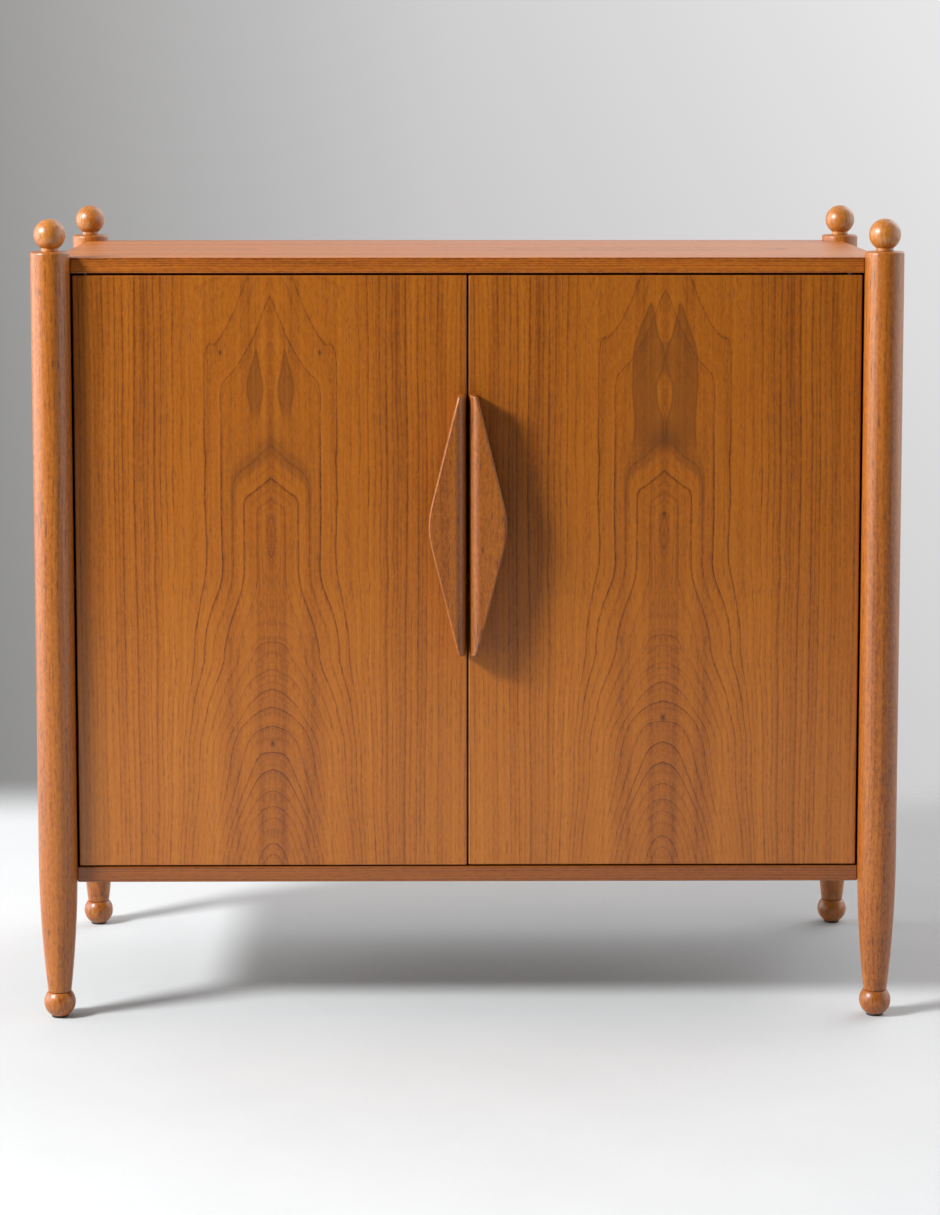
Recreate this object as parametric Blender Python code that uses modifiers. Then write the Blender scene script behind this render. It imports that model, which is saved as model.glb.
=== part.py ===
"""Two-door bar cabinet hung between four turned posts, built from its separate pieces. Metres, +Z up.

X runs to the right, Y to the back. The doors face -Y. The floor is z = 0.
"""
import math

import bmesh
import bpy
from mathutils import Matrix, Vector

# Clearances
FIT_GAP = 0.0003            # between pieces that touch
CUT_MARGIN = 0.004          # how far a cutter runs past the face it opens
WELD_DISTANCE = 0.000001    # corners closer than this are one corner

# Turned posts
POST_SPACING_WIDE = 0.955   # between post centres, left to right
POST_SPACING_DEEP = 0.405   # between post centres, front to back
POST_RADIUS = 0.0225
POST_TOP = 0.896
POST_STAND = 0.007          # how far a post stands above the top panel
POST_RIM_ROUND = 0.002
LEG_TAPER_START = 0.190
LEG_END_RADIUS = 0.0135
SPIGOT_RADIUS = 0.005
SPIGOT_LENGTH = 0.020
RIM_POINTS = 3
POST_STEPS = 24
TAPER_POINTS = 6

# Finials, feet and glides
FINIAL_RADIUS = 0.01825
FINIAL_NECK_RADIUS = 0.010
FINIAL_NECK_HEIGHT = 0.0035
FOOT_RADIUS = 0.0184
GLIDE_RADIUS = 0.0098
GLIDE_THICKNESS = 0.002
GLIDE_NAIL_RADIUS = 0.0015
GLIDE_NAIL_LENGTH = 0.010
BALL_STEPS = 20
BALL_POINTS = 8

# Case
PANEL_THICKNESS = 0.018
CASE_BOTTOM = 0.160         # underside of the bottom panel
SIDE_HOUSING = 0.0145       # how deep a side panel enters the round of a post
BACK_THICKNESS = 0.008
BACK_SETBACK = 0.024        # from the back edge of the top panel to the back panel
BACK_TONGUE = 0.006         # how deep the back panel enters its grooves

# Inner fittings
SHELF_HEIGHT = 0.500        # underside of the fixed shelf
SHELF_SETBACK = 0.037       # from the front edge of the case to the shelf and the divider
HOUSING_DEPTH = 0.005       # how deep the shelf and the divider enter their housings
LOOSE_SHELF_HEIGHT = 0.345  # underside of the loose shelf
LOOSE_SHELF_THICKNESS = 0.016
LOOSE_SHELF_SETBACK = 0.052
LOOSE_SHELF_PLAY = 0.0012
PIN_RADIUS = 0.0025
PIN_COLLAR_RADIUS = 0.0045
PIN_COLLAR_LENGTH = 0.0009
PIN_HOLE_DEPTH = 0.010
PIN_NOSE_LENGTH = 0.009
PIN_END_DISTANCE = 0.050    # from the loose shelf's front and back edges to the pins
PIN_STEPS = 12
RAIL_COUNT = 4
RAIL_PITCH = 0.100
RAIL_END_DISTANCE = 0.055   # from the right side panel to the last stemware rail's centre
RAIL_LENGTH = 0.290
RAIL_SETBACK = 0.052
RAIL_STEM_WIDTH = 0.016
RAIL_STEM_HEIGHT = 0.018
RAIL_FLANGE_WIDTH = 0.068
RAIL_FLANGE_THICKNESS = 0.010
BOTTLE_COUNT = 4
BOTTLE_RAIL_HEIGHT = 0.060
BOTTLE_RAIL_THICKNESS = 0.018
BOTTLE_RAIL_PLAY = 0.001
BOTTLE_SEAT_RADIUS = 0.042
BOTTLE_SEAT_DEPTH = 0.025
BOTTLE_RAIL_SETBACK = 0.085
BOTTLE_RAIL_SPACING = 0.190
SEAT_STEPS = 32

# Doors and pivot hinges
DOOR_THICKNESS = 0.020
DOOR_SIDE_GAP = 0.0025
DOOR_TOP_GAP = 0.0025
DOOR_BOTTOM_GAP = 0.002
DOOR_MEETING_GAP = 0.002
PIVOT_INSET = 0.012         # from the door's outer edge to the pivot
PLATE_LENGTH = 0.056
PLATE_WIDTH = 0.012
PLATE_THICKNESS = 0.0025
PLATE_END_DISTANCE = 0.006  # from the pivot to the plate's outer end
HINGE_PIN_RADIUS = 0.003
HINGE_PIN_REACH = 0.009     # how far the pin runs into the door past its plate
HINGE_COLLAR_RADIUS = 0.005
PLATE_STEPS = 6
HINGE_STEPS = 16

# Pulls
PULL_LENGTH = 0.302
PULL_CENTRE_HEIGHT = 0.5815
PULL_END_WIDTH = 0.009
PULL_MIDDLE_WIDTH = 0.043
PULL_APEX_RADIUS = 0.100
PULL_PROJECTION = 0.030     # from the door's face to the pull's front face
PULL_INSET = 0.001          # from the door's meeting edge
PULL_INNER_ROUND = 0.014
PULL_SEAT_WIDTH = 0.015
PULL_LIP_THICKNESS = 0.013
PULL_ROUND_POINTS = 8
PULL_APEX_POINTS = 10
SCREW_SPACING = 0.150
SCREW_INSET = 0.0085        # from the pull's inner edge
SCREW_SHANK_RADIUS = 0.002
SCREW_HEAD_RADIUS = 0.0048
SCREW_HEAD_HEIGHT = 0.0025
SCREW_BITE = 0.013          # how far a screw runs into the pull
SCREW_STEPS = 12

# Magnetic catches
CATCH_LENGTH = 0.042
CATCH_WIDTH = 0.022
CATCH_HEIGHT = 0.014
CATCH_DISTANCE = 0.040      # from the middle of the cabinet to a catch's centre
STRIKE_LENGTH = 0.034
STRIKE_HEIGHT = 0.010
STRIKE_TOP_DISTANCE = 0.002  # from the door's top edge to the strike plate
STRIKE_THICKNESS = 0.0012

# Finishes: colour, roughness and metallic value
FINISHES = {
    "walnut_veneer": ((0.36, 0.13, 0.030), 0.35, 0.0),
    "turned_walnut": ((0.30, 0.10, 0.028), 0.32, 0.0),
    "brass": ((0.62, 0.43, 0.17), 0.30, 1.0),
    "steel": ((0.55, 0.55, 0.56), 0.30, 1.0),
    "black_plastic": ((0.02, 0.02, 0.02), 0.50, 0.0),
}

# Places that follow from the sizes above
POST_X = POST_SPACING_WIDE / 2
POST_Y = POST_SPACING_DEEP / 2
CASE_TOP = POST_TOP - POST_STAND
TOP_UNDERSIDE = CASE_TOP - PANEL_THICKNESS
BOTTOM_UPPER = CASE_BOTTOM + PANEL_THICKNESS
SIDE_INNER = POST_X - PANEL_THICKNESS
SIDE_END = POST_Y - POST_RADIUS + SIDE_HOUSING
CASE_FRONT = -POST_Y
BACK_REAR = POST_Y - BACK_SETBACK
BACK_FRONT = BACK_REAR - BACK_THICKNESS
SHELF_TOP = SHELF_HEIGHT + PANEL_THICKNESS
SHELF_FRONT = CASE_FRONT + SHELF_SETBACK
INNER_REAR = BACK_FRONT - FIT_GAP
DIVIDER_HALF = PANEL_THICKNESS / 2
GROOVE_X = SIDE_INNER + BACK_TONGUE + FIT_GAP
GROOVE_FRONT = BACK_FRONT - FIT_GAP
GROOVE_REAR = BACK_REAR + FIT_GAP
FOOT_FLAT = GLIDE_THICKNESS + FIT_GAP
FOOT_CENTRE = FOOT_FLAT + math.sqrt(FOOT_RADIUS ** 2 - GLIDE_RADIUS ** 2)
FOOT_TOP = FOOT_CENTRE + math.sqrt(FOOT_RADIUS ** 2 - LEG_END_RADIUS ** 2)
LEG_END = FOOT_TOP + FIT_GAP
FINIAL_SHOULDER = POST_TOP + FIT_GAP
NECK_TO_CENTRE = math.sqrt(FINIAL_RADIUS ** 2 - FINIAL_NECK_RADIUS ** 2)
FINIAL_CENTRE = FINIAL_SHOULDER + FINIAL_NECK_HEIGHT + NECK_TO_CENTRE
DOOR_OUTER = POST_X - POST_RADIUS - DOOR_SIDE_GAP
DOOR_INNER = DOOR_MEETING_GAP / 2
DOOR_LOW = BOTTOM_UPPER + DOOR_BOTTOM_GAP
DOOR_HIGH = TOP_UNDERSIDE - DOOR_TOP_GAP
DOOR_BACK = CASE_FRONT + DOOR_THICKNESS
PIVOT_X = DOOR_OUTER - PIVOT_INSET
PIVOT_Y = CASE_FRONT + DOOR_THICKNESS / 2
PIN_HEIGHT = LOOSE_SHELF_HEIGHT - PIN_RADIUS - FIT_GAP
PULL_EDGE = DOOR_INNER + PULL_INSET
FRONT_REACH = max(POST_Y + POST_RADIUS, POST_Y + PULL_PROJECTION)
BACK_REACH = POST_Y + POST_RADIUS
FRAME_SHIFT = (FRONT_REACH - BACK_REACH) / 2

SIDES = {"left": -1, "right": 1}
ENDS = {"front": -1, "back": 1}
UPRIGHT = Matrix.Rotation(math.pi / 2, 4, "X")


def clear_scene():
    """Remove every object that the file opens with."""
    for old in list(bpy.data.objects):
        bpy.data.objects.remove(old, do_unlink=True)


def new_collection(name):
    """A collection linked to the scene."""
    collection = bpy.data.collections.new(name)
    bpy.context.scene.collection.children.link(collection)
    return collection


def make_finish(name):
    """A Principled BSDF material from the table of finishes."""
    colour, roughness, metallic = FINISHES[name]
    material = bpy.data.materials.new(name)
    material.use_nodes = True
    shader = material.node_tree.nodes["Principled BSDF"]
    shader.inputs["Base Color"].default_value = (*colour, 1.0)
    shader.inputs["Roughness"].default_value = roughness
    shader.inputs["Metallic"].default_value = metallic
    return material


def bmesh_to_mesh(name, builder):
    """Turn a finished bmesh into a mesh with its faces pointing out."""
    bmesh.ops.recalc_face_normals(builder, faces=builder.faces)
    mesh = bpy.data.meshes.new(name)
    builder.to_mesh(mesh)
    builder.free()
    return mesh


def box(name, across, along, upward):
    """A box between two planes on each axis, given in either order."""
    spans = (across, along, upward)
    low = Vector([min(span) for span in spans])
    high = Vector([max(span) for span in spans])
    place = Matrix.Translation((low + high) / 2) @ Matrix.Diagonal((*(high - low), 1.0))
    builder = bmesh.new()
    bmesh.ops.create_cube(builder, size=1.0, matrix=place)
    return bmesh_to_mesh(name, builder)


def cylinder(name, radius, low, high, steps, turn=Matrix.Identity(4)):
    """A cylinder along the local Z axis from low to high, then turned and placed."""
    place = turn @ Matrix.Translation((0.0, 0.0, (low + high) / 2))
    builder = bmesh.new()
    bmesh.ops.create_cone(
        builder, cap_ends=True, segments=steps, radius1=radius, radius2=radius,
        depth=high - low, matrix=place,
    )
    return bmesh_to_mesh(name, builder)


def prism(name, outline, low, high, turn=Matrix.Identity(4)):
    """A flat outline extruded along the local Z axis from low to high, then turned and placed."""
    curve = bpy.data.curves.new(name, "CURVE")
    curve.dimensions = "2D"
    curve.fill_mode = "BOTH"
    curve.extrude = (high - low) / 2
    spline = curve.splines.new("POLY")
    spline.points.add(len(outline) - 1)
    for point, (x, y) in zip(spline.points, outline):
        point.co = (x, y, 0.0, 1.0)
    spline.use_cyclic_u = True
    holder = bpy.data.objects.new(name, curve)
    bpy.context.scene.collection.objects.link(holder)
    depsgraph = bpy.context.evaluated_depsgraph_get()
    mesh = bpy.data.meshes.new_from_object(holder.evaluated_get(depsgraph))
    bpy.data.objects.remove(holder, do_unlink=True)
    bpy.data.curves.remove(curve)
    builder = bmesh.new()
    builder.from_mesh(mesh)
    bpy.data.meshes.remove(mesh)
    bmesh.ops.remove_doubles(builder, verts=builder.verts, dist=WELD_DISTANCE)
    builder.transform(turn @ Matrix.Translation((0.0, 0.0, (low + high) / 2)))
    return bmesh_to_mesh(name, builder)


def turned_profile(name, profile):
    """The edges of a turned piece's outline, given as (radius, height) pairs from top to bottom."""
    builder = bmesh.new()
    corners = []
    for radius, height in profile:
        corners.append(builder.verts.new((radius, 0.0, height)))
    for upper, lower in zip(corners, corners[1:]):
        builder.edges.new((upper, lower))
    mesh = bpy.data.meshes.new(name)
    builder.to_mesh(mesh)
    builder.free()
    return mesh


def arc(centre, radius, start, end, count):
    """Points on a circle from one angle to another, in radians, both ends included."""
    points = []
    for index in range(count + 1):
        angle = start + (end - start) * index / count
        points.append((centre[0] + radius * math.cos(angle), centre[1] + radius * math.sin(angle)))
    return points


clear_scene()
PARTS = new_collection("bar_cabinet")
CUTTERS = new_collection("cutters")
MATERIALS = {name: make_finish(name) for name in FINISHES}

CABINET = bpy.data.objects.new("cabinet_frame", None)
CABINET.location = (0.0, FRAME_SHIFT, 0.0)
PARTS.objects.link(CABINET)


def add_part(name, mesh, finish, parent=CABINET, place=(0, 0, 0), rotation=(0, 0, 0)):
    """Add one piece, with its place given in its parent's frame."""
    part = bpy.data.objects.new(name, mesh)
    mesh.materials.append(MATERIALS[finish])
    part.parent = parent
    part.location = place
    part.rotation_euler = rotation
    PARTS.objects.link(part)
    return part


def add_turned(name, profile, finish, steps, parent=CABINET, place=(0, 0, 0), rotation=(0, 0, 0)):
    """Add one turned piece, spun about its own Z axis."""
    part = add_part(name, turned_profile(name, profile), finish, parent, place, rotation)
    screw = part.modifiers.new("turn", "SCREW")
    screw.axis = "Z"
    screw.steps = steps
    screw.render_steps = steps
    screw.use_merge_vertices = True
    screw.merge_threshold = WELD_DISTANCE
    screw.use_smooth_shade = True
    return part


def cut(part, mesh, operation="DIFFERENCE"):
    """Cut a piece with a mesh given in that piece's own frame."""
    cutter = bpy.data.objects.new(mesh.name, mesh)
    cutter.parent = part
    cutter.hide_render = True
    cutter.display_type = "WIRE"
    CUTTERS.objects.link(cutter)
    boolean = part.modifiers.new(mesh.name, "BOOLEAN")
    boolean.operation = operation
    boolean.solver = "EXACT"
    boolean.object = cutter


def corner_places():
    """Name and plan position of the four corners."""
    places = []
    for end, end_sign in ENDS.items():
        for side, side_sign in SIDES.items():
            places.append((end + "_" + side, side_sign * POST_X, end_sign * POST_Y))
    return places


def leg_radius(height):
    """Radius of the post in the tapered leg, a parabola that starts flush with the straight post."""
    share = (LEG_TAPER_START - height) / (LEG_TAPER_START - LEG_END)
    return POST_RADIUS - (POST_RADIUS - LEG_END_RADIUS) * share ** 2


def make_posts():
    """Posts with a socket at each end and a housing for the edge of the side panel."""
    socket = SPIGOT_RADIUS + FIT_GAP
    socket_depth = SPIGOT_LENGTH + FIT_GAP
    profile = [(0.0, POST_TOP - socket_depth), (socket, POST_TOP - socket_depth), (socket, POST_TOP)]
    rim_centre = (POST_RADIUS - POST_RIM_ROUND, POST_TOP - POST_RIM_ROUND)
    profile += arc(rim_centre, POST_RIM_ROUND, math.pi / 2, 0.0, RIM_POINTS)
    for index in range(TAPER_POINTS + 1):
        height = LEG_TAPER_START + (LEG_END - LEG_TAPER_START) * index / TAPER_POINTS
        profile.append((leg_radius(height), height))
    profile += [(socket, LEG_END), (socket, LEG_END + socket_depth), (0.0, LEG_END + socket_depth)]
    for corner, x, y in corner_places():
        post = add_turned("post_" + corner, profile, "turned_walnut", POST_STEPS, place=(x, y, 0.0))
        inward_x = -math.copysign(1.0, x)
        inward_y = -math.copysign(1.0, y)
        floor = POST_Y - SIDE_END - FIT_GAP
        across = (-FIT_GAP * inward_x, (PANEL_THICKNESS + FIT_GAP) * inward_x)
        along = (floor * inward_y, (POST_RADIUS + CUT_MARGIN) * inward_y)
        cut(post, box("housing_" + corner, across, along, (BOTTOM_UPPER, TOP_UNDERSIDE)))


def make_finials():
    """Ball finials, each with a neck and a spigot that sits in the post."""
    neck_angle = -math.acos(FINIAL_NECK_RADIUS / FINIAL_RADIUS)
    profile = arc((0.0, FINIAL_CENTRE), FINIAL_RADIUS, math.pi / 2, neck_angle, BALL_POINTS)
    profile[0] = (0.0, FINIAL_CENTRE + FINIAL_RADIUS)
    profile += [(FINIAL_NECK_RADIUS, FINIAL_SHOULDER), (SPIGOT_RADIUS, FINIAL_SHOULDER)]
    spigot_end = POST_TOP - SPIGOT_LENGTH
    profile += [(SPIGOT_RADIUS, spigot_end), (0.0, spigot_end)]
    for corner, x, y in corner_places():
        add_turned("finial_" + corner, profile, "turned_walnut", BALL_STEPS, place=(x, y, 0.0))


def make_feet():
    """Ball feet with a spigot up into the leg, and a nail glide under each."""
    spigot_end = LEG_END + SPIGOT_LENGTH
    profile = [(0.0, spigot_end), (SPIGOT_RADIUS, spigot_end), (SPIGOT_RADIUS, FOOT_TOP)]
    top_angle = math.acos(LEG_END_RADIUS / FOOT_RADIUS)
    flat_angle = -math.acos(GLIDE_RADIUS / FOOT_RADIUS)
    profile += arc((0.0, FOOT_CENTRE), FOOT_RADIUS, top_angle, flat_angle, BALL_POINTS)
    nail_hole = GLIDE_NAIL_RADIUS + FIT_GAP
    nail_top = FOOT_FLAT + GLIDE_NAIL_LENGTH
    profile += [(nail_hole, FOOT_FLAT), (nail_hole, nail_top + FIT_GAP), (0.0, nail_top + FIT_GAP)]
    glide = [(0.0, nail_top), (GLIDE_NAIL_RADIUS, nail_top), (GLIDE_NAIL_RADIUS, GLIDE_THICKNESS)]
    glide += [(GLIDE_RADIUS, GLIDE_THICKNESS), (GLIDE_RADIUS, 0.0), (0.0, 0.0)]
    for corner, x, y in corner_places():
        add_turned("foot_" + corner, profile, "turned_walnut", BALL_STEPS, place=(x, y, 0.0))
        add_turned("glide_" + corner, glide, "black_plastic", PIN_STEPS, place=(x, y, 0.0))


def plate_outline(side_sign, grow):
    """A hinge plate's outline about its pivot, with a square inner end and a round outer end."""
    half = PLATE_WIDTH / 2 + grow
    outer = PLATE_END_DISTANCE + grow - half
    inner = PLATE_END_DISTANCE - PLATE_LENGTH - grow
    points = arc((outer, 0.0), half, -math.pi / 2, math.pi / 2, PLATE_STEPS)
    points += [(inner, half), (inner, -half)]
    return [(side_sign * x, y) for x, y in points]


def make_flat_panel(name, low, high, inner_face, inward):
    """Top or bottom panel, notched round the posts, with a back groove and plate recesses inside."""
    panel = add_part(name, box(name, (-POST_X, POST_X), (-POST_Y, POST_Y), (low, high)), "walnut_veneer")
    notch_span = (low - CUT_MARGIN, high + CUT_MARGIN)
    for corner, x, y in corner_places():
        place = Matrix.Translation((x, y, 0.0))
        cut(panel, cylinder("notch_" + corner, POST_RADIUS + FIT_GAP, *notch_span, POST_STEPS, place))
    mouth = inner_face + inward * CUT_MARGIN
    groove_floor = inner_face - inward * (BACK_TONGUE + FIT_GAP)
    cut(panel, box("back_groove", (-GROOVE_X, GROOVE_X), (GROOVE_FRONT, GROOVE_REAR), (groove_floor, mouth)))
    recess_floor = inner_face - inward * (PLATE_THICKNESS + FIT_GAP)
    recess_span = sorted((recess_floor, mouth))
    for side_sign in SIDES.values():
        place = Matrix.Translation((side_sign * PIVOT_X, PIVOT_Y, 0.0))
        cut(panel, prism("plate_recess", plate_outline(side_sign, FIT_GAP), *recess_span, place))
    return panel


def make_side_panel(side, side_sign):
    """Side panel with a back groove and a housing for the fixed shelf in its inner face."""
    name = "side_panel_" + side
    across = (side_sign * SIDE_INNER, side_sign * POST_X)
    upward = (BOTTOM_UPPER + FIT_GAP, TOP_UNDERSIDE - FIT_GAP)
    panel = add_part(name, box(name, across, (-SIDE_END, SIDE_END), upward), "walnut_veneer")
    mouth = side_sign * (SIDE_INNER - CUT_MARGIN)
    upward = (BOTTOM_UPPER - CUT_MARGIN, TOP_UNDERSIDE + CUT_MARGIN)
    cut(panel, box("back_groove", (mouth, side_sign * GROOVE_X), (GROOVE_FRONT, GROOVE_REAR), upward))
    across = (mouth, side_sign * (SIDE_INNER + HOUSING_DEPTH + FIT_GAP))
    along = (SHELF_FRONT - FIT_GAP, GROOVE_FRONT + CUT_MARGIN)
    cut(panel, box("shelf_housing", across, along, (SHELF_HEIGHT - FIT_GAP, SHELF_TOP + FIT_GAP)))
    return panel


def make_case():
    """Top, bottom, sides and back."""
    make_flat_panel("top_panel", TOP_UNDERSIDE, CASE_TOP, TOP_UNDERSIDE, -1)
    bottom = make_flat_panel("bottom_panel", CASE_BOTTOM, BOTTOM_UPPER, BOTTOM_UPPER, 1)
    across = (-DIVIDER_HALF - FIT_GAP, DIVIDER_HALF + FIT_GAP)
    along = (SHELF_FRONT - FIT_GAP, GROOVE_FRONT + CUT_MARGIN)
    upward = (BOTTOM_UPPER - HOUSING_DEPTH - FIT_GAP, BOTTOM_UPPER + CUT_MARGIN)
    cut(bottom, box("divider_housing", across, along, upward))

    sides = {side: make_side_panel(side, side_sign) for side, side_sign in SIDES.items()}
    for y in pin_places():
        cut(sides["right"], pin_hole(y, SIDE_INNER, 1))

    across = (-SIDE_INNER - BACK_TONGUE, SIDE_INNER + BACK_TONGUE)
    upward = (BOTTOM_UPPER - BACK_TONGUE, TOP_UNDERSIDE + BACK_TONGUE)
    add_part("back_panel", box("back_panel", across, (BACK_FRONT, BACK_REAR), upward), "walnut_veneer")


def pin_places():
    """Depth positions of the loose shelf's pins."""
    front = CASE_FRONT + LOOSE_SHELF_SETBACK + PIN_END_DISTANCE
    rear = INNER_REAR - PIN_END_DISTANCE
    return (front, rear)


def pin_hole(y, face, direction):
    """A cutter for a pin hole that runs into a panel from its face."""
    turn = Matrix.Translation((face, y, PIN_HEIGHT)) @ Matrix.Rotation(direction * math.pi / 2, 4, "Y")
    depth = PIN_HOLE_DEPTH + FIT_GAP
    return cylinder("pin_hole", PIN_RADIUS + FIT_GAP, -CUT_MARGIN, depth, PIN_STEPS, turn)


def make_fixed_shelf():
    """Fixed shelf housed in the side panels, and the divider that carries it from the bottom panel."""
    shelf_x = SIDE_INNER + HOUSING_DEPTH
    along = (SHELF_FRONT, INNER_REAR)
    mesh = box("fixed_shelf", (-shelf_x, shelf_x), along, (SHELF_HEIGHT, SHELF_TOP))
    shelf = add_part("fixed_shelf", mesh, "walnut_veneer")
    across = (-DIVIDER_HALF - FIT_GAP, DIVIDER_HALF + FIT_GAP)
    through = (SHELF_FRONT - CUT_MARGIN, INNER_REAR + CUT_MARGIN)
    upward = (SHELF_HEIGHT - CUT_MARGIN, SHELF_HEIGHT + HOUSING_DEPTH + FIT_GAP)
    cut(shelf, box("divider_housing", across, through, upward))

    upward = (BOTTOM_UPPER - HOUSING_DEPTH, SHELF_HEIGHT + HOUSING_DEPTH)
    mesh = box("lower_divider", (-DIVIDER_HALF, DIVIDER_HALF), along, upward)
    divider = add_part("lower_divider", mesh, "walnut_veneer")
    for y in pin_places():
        cut(divider, pin_hole(y, DIVIDER_HALF, -1))


def make_loose_shelf():
    """Loose shelf in the lower right bay, lying on four collared pins."""
    play = FIT_GAP + PIN_COLLAR_LENGTH + LOOSE_SHELF_PLAY
    across = (DIVIDER_HALF + play, SIDE_INNER - play)
    along = (CASE_FRONT + LOOSE_SHELF_SETBACK, INNER_REAR)
    upward = (LOOSE_SHELF_HEIGHT, LOOSE_SHELF_HEIGHT + LOOSE_SHELF_THICKNESS)
    add_part("loose_shelf", box("loose_shelf", across, along, upward), "walnut_veneer")

    collar = FIT_GAP + PIN_COLLAR_LENGTH
    profile = [(0.0, collar + PIN_NOSE_LENGTH), (PIN_RADIUS, collar + PIN_NOSE_LENGTH), (PIN_RADIUS, collar)]
    profile += [(PIN_COLLAR_RADIUS, collar), (PIN_COLLAR_RADIUS, FIT_GAP), (PIN_RADIUS, FIT_GAP)]
    profile += [(PIN_RADIUS, -PIN_HOLE_DEPTH), (0.0, -PIN_HOLE_DEPTH)]
    faces = {"divider": (DIVIDER_HALF, 1), "side": (SIDE_INNER, -1)}
    for wall, (face, direction) in faces.items():
        for end, y in zip(ENDS, pin_places()):
            add_turned(
                "shelf_pin_" + wall + "_" + end, profile, "steel", PIN_STEPS,
                place=(face, y, PIN_HEIGHT), rotation=(0.0, direction * math.pi / 2, 0.0),
            )


def make_stemware_rails():
    """T-shaped rails under the top, which hang glasses by their feet."""
    stem = RAIL_STEM_WIDTH / 2
    flange = RAIL_FLANGE_WIDTH / 2
    foot = RAIL_FLANGE_THICKNESS
    crown = RAIL_FLANGE_THICKNESS + RAIL_STEM_HEIGHT
    outline = [(-flange, 0.0), (flange, 0.0), (flange, foot), (stem, foot)]
    outline += [(stem, crown), (-stem, crown), (-stem, foot), (-flange, foot)]
    for index in range(RAIL_COUNT):
        x = SIDE_INNER - RAIL_END_DISTANCE - (RAIL_COUNT - 1 - index) * RAIL_PITCH
        mesh = prism("stemware_rail", outline, -RAIL_LENGTH, 0.0, UPRIGHT)
        place = (x, CASE_FRONT + RAIL_SETBACK, TOP_UNDERSIDE - FIT_GAP - crown)
        add_part("stemware_rail_" + str(index + 1), mesh, "turned_walnut", place=place)


def make_bottle_rails():
    """Scalloped rails in the lower left bay, which hold lying bottles."""
    left = -SIDE_INNER + BOTTLE_RAIL_PLAY
    right = -DIVIDER_HALF - BOTTLE_RAIL_PLAY
    pitch = (right - left) / BOTTLE_COUNT
    low = BOTTOM_UPPER + FIT_GAP
    high = low + BOTTLE_RAIL_HEIGHT
    seat_height = high - BOTTLE_SEAT_DEPTH + BOTTLE_SEAT_RADIUS
    seat_span = (-BOTTLE_RAIL_THICKNESS - CUT_MARGIN, CUT_MARGIN)
    for index, end in enumerate(ENDS):
        name = "bottle_rail_" + end
        y = CASE_FRONT + BOTTLE_RAIL_SETBACK + index * BOTTLE_RAIL_SPACING
        mesh = box(name, (left, right), (y, y + BOTTLE_RAIL_THICKNESS), (low, high))
        rail = add_part(name, mesh, "turned_walnut")
        for number in range(BOTTLE_COUNT):
            turn = Matrix.Translation((left + (number + 0.5) * pitch, y, seat_height)) @ UPRIGHT
            cut(rail, cylinder("bottle_seat", BOTTLE_SEAT_RADIUS, *seat_span, SEAT_STEPS, turn))


def make_door_pivots():
    """Empties on the two door axes, which carry all that turns with a door."""
    pivots = {}
    for side, side_sign in SIDES.items():
        pivot = bpy.data.objects.new("door_pivot_" + side, None)
        pivot.parent = CABINET
        pivot.location = (side_sign * PIVOT_X, PIVOT_Y, 0.0)
        PARTS.objects.link(pivot)
        pivots[side] = pivot
    return pivots


def screw_heights():
    """Heights of the two screws of a pull."""
    half = SCREW_SPACING / 2
    return {"lower": PULL_CENTRE_HEIGHT - half, "upper": PULL_CENTRE_HEIGHT + half}


def make_doors(pivots):
    """Flat doors with plate recesses, pin bores and screw holes, in the frame of their pivots."""
    half = DOOR_THICKNESS / 2
    screw_reach = half + CUT_MARGIN
    for side, side_sign in SIDES.items():
        name = "door_" + side
        across = (side_sign * (DOOR_INNER - PIVOT_X), side_sign * (DOOR_OUTER - PIVOT_X))
        mesh = box(name, across, (-half, half), (DOOR_LOW, DOOR_HIGH))
        door = add_part(name, mesh, "walnut_veneer", pivots[side])
        for edge, inward in ((DOOR_HIGH, -1), (DOOR_LOW, 1)):
            mouth = edge - inward * CUT_MARGIN
            recess_span = sorted((mouth, edge + inward * (PLATE_THICKNESS + FIT_GAP)))
            cut(door, prism("plate_recess", plate_outline(side_sign, FIT_GAP), *recess_span))
            bore_floor = edge + inward * (PLATE_THICKNESS + HINGE_PIN_REACH + FIT_GAP)
            bore_span = sorted((mouth, bore_floor))
            cut(door, cylinder("pin_bore", HINGE_PIN_RADIUS + FIT_GAP, *bore_span, HINGE_STEPS))
        screw_x = side_sign * (PULL_EDGE + SCREW_INSET - PIVOT_X)
        for height in screw_heights().values():
            turn = Matrix.Translation((screw_x, 0.0, height)) @ UPRIGHT
            hole = SCREW_SHANK_RADIUS + FIT_GAP
            cut(door, cylinder("screw_hole", hole, -screw_reach, screw_reach, SCREW_STEPS, turn))


def make_hinge_plate(name, side_sign, span, parent, place):
    """One brass plate of a pivot hinge, with its pin hole."""
    plate = add_part(name, prism(name, plate_outline(side_sign, 0.0), *span), "brass", parent, place)
    through = (span[0] - CUT_MARGIN, span[1] + CUT_MARGIN)
    cut(plate, cylinder("plate_hole", HINGE_PIN_RADIUS + FIT_GAP, *through, HINGE_STEPS))


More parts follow.
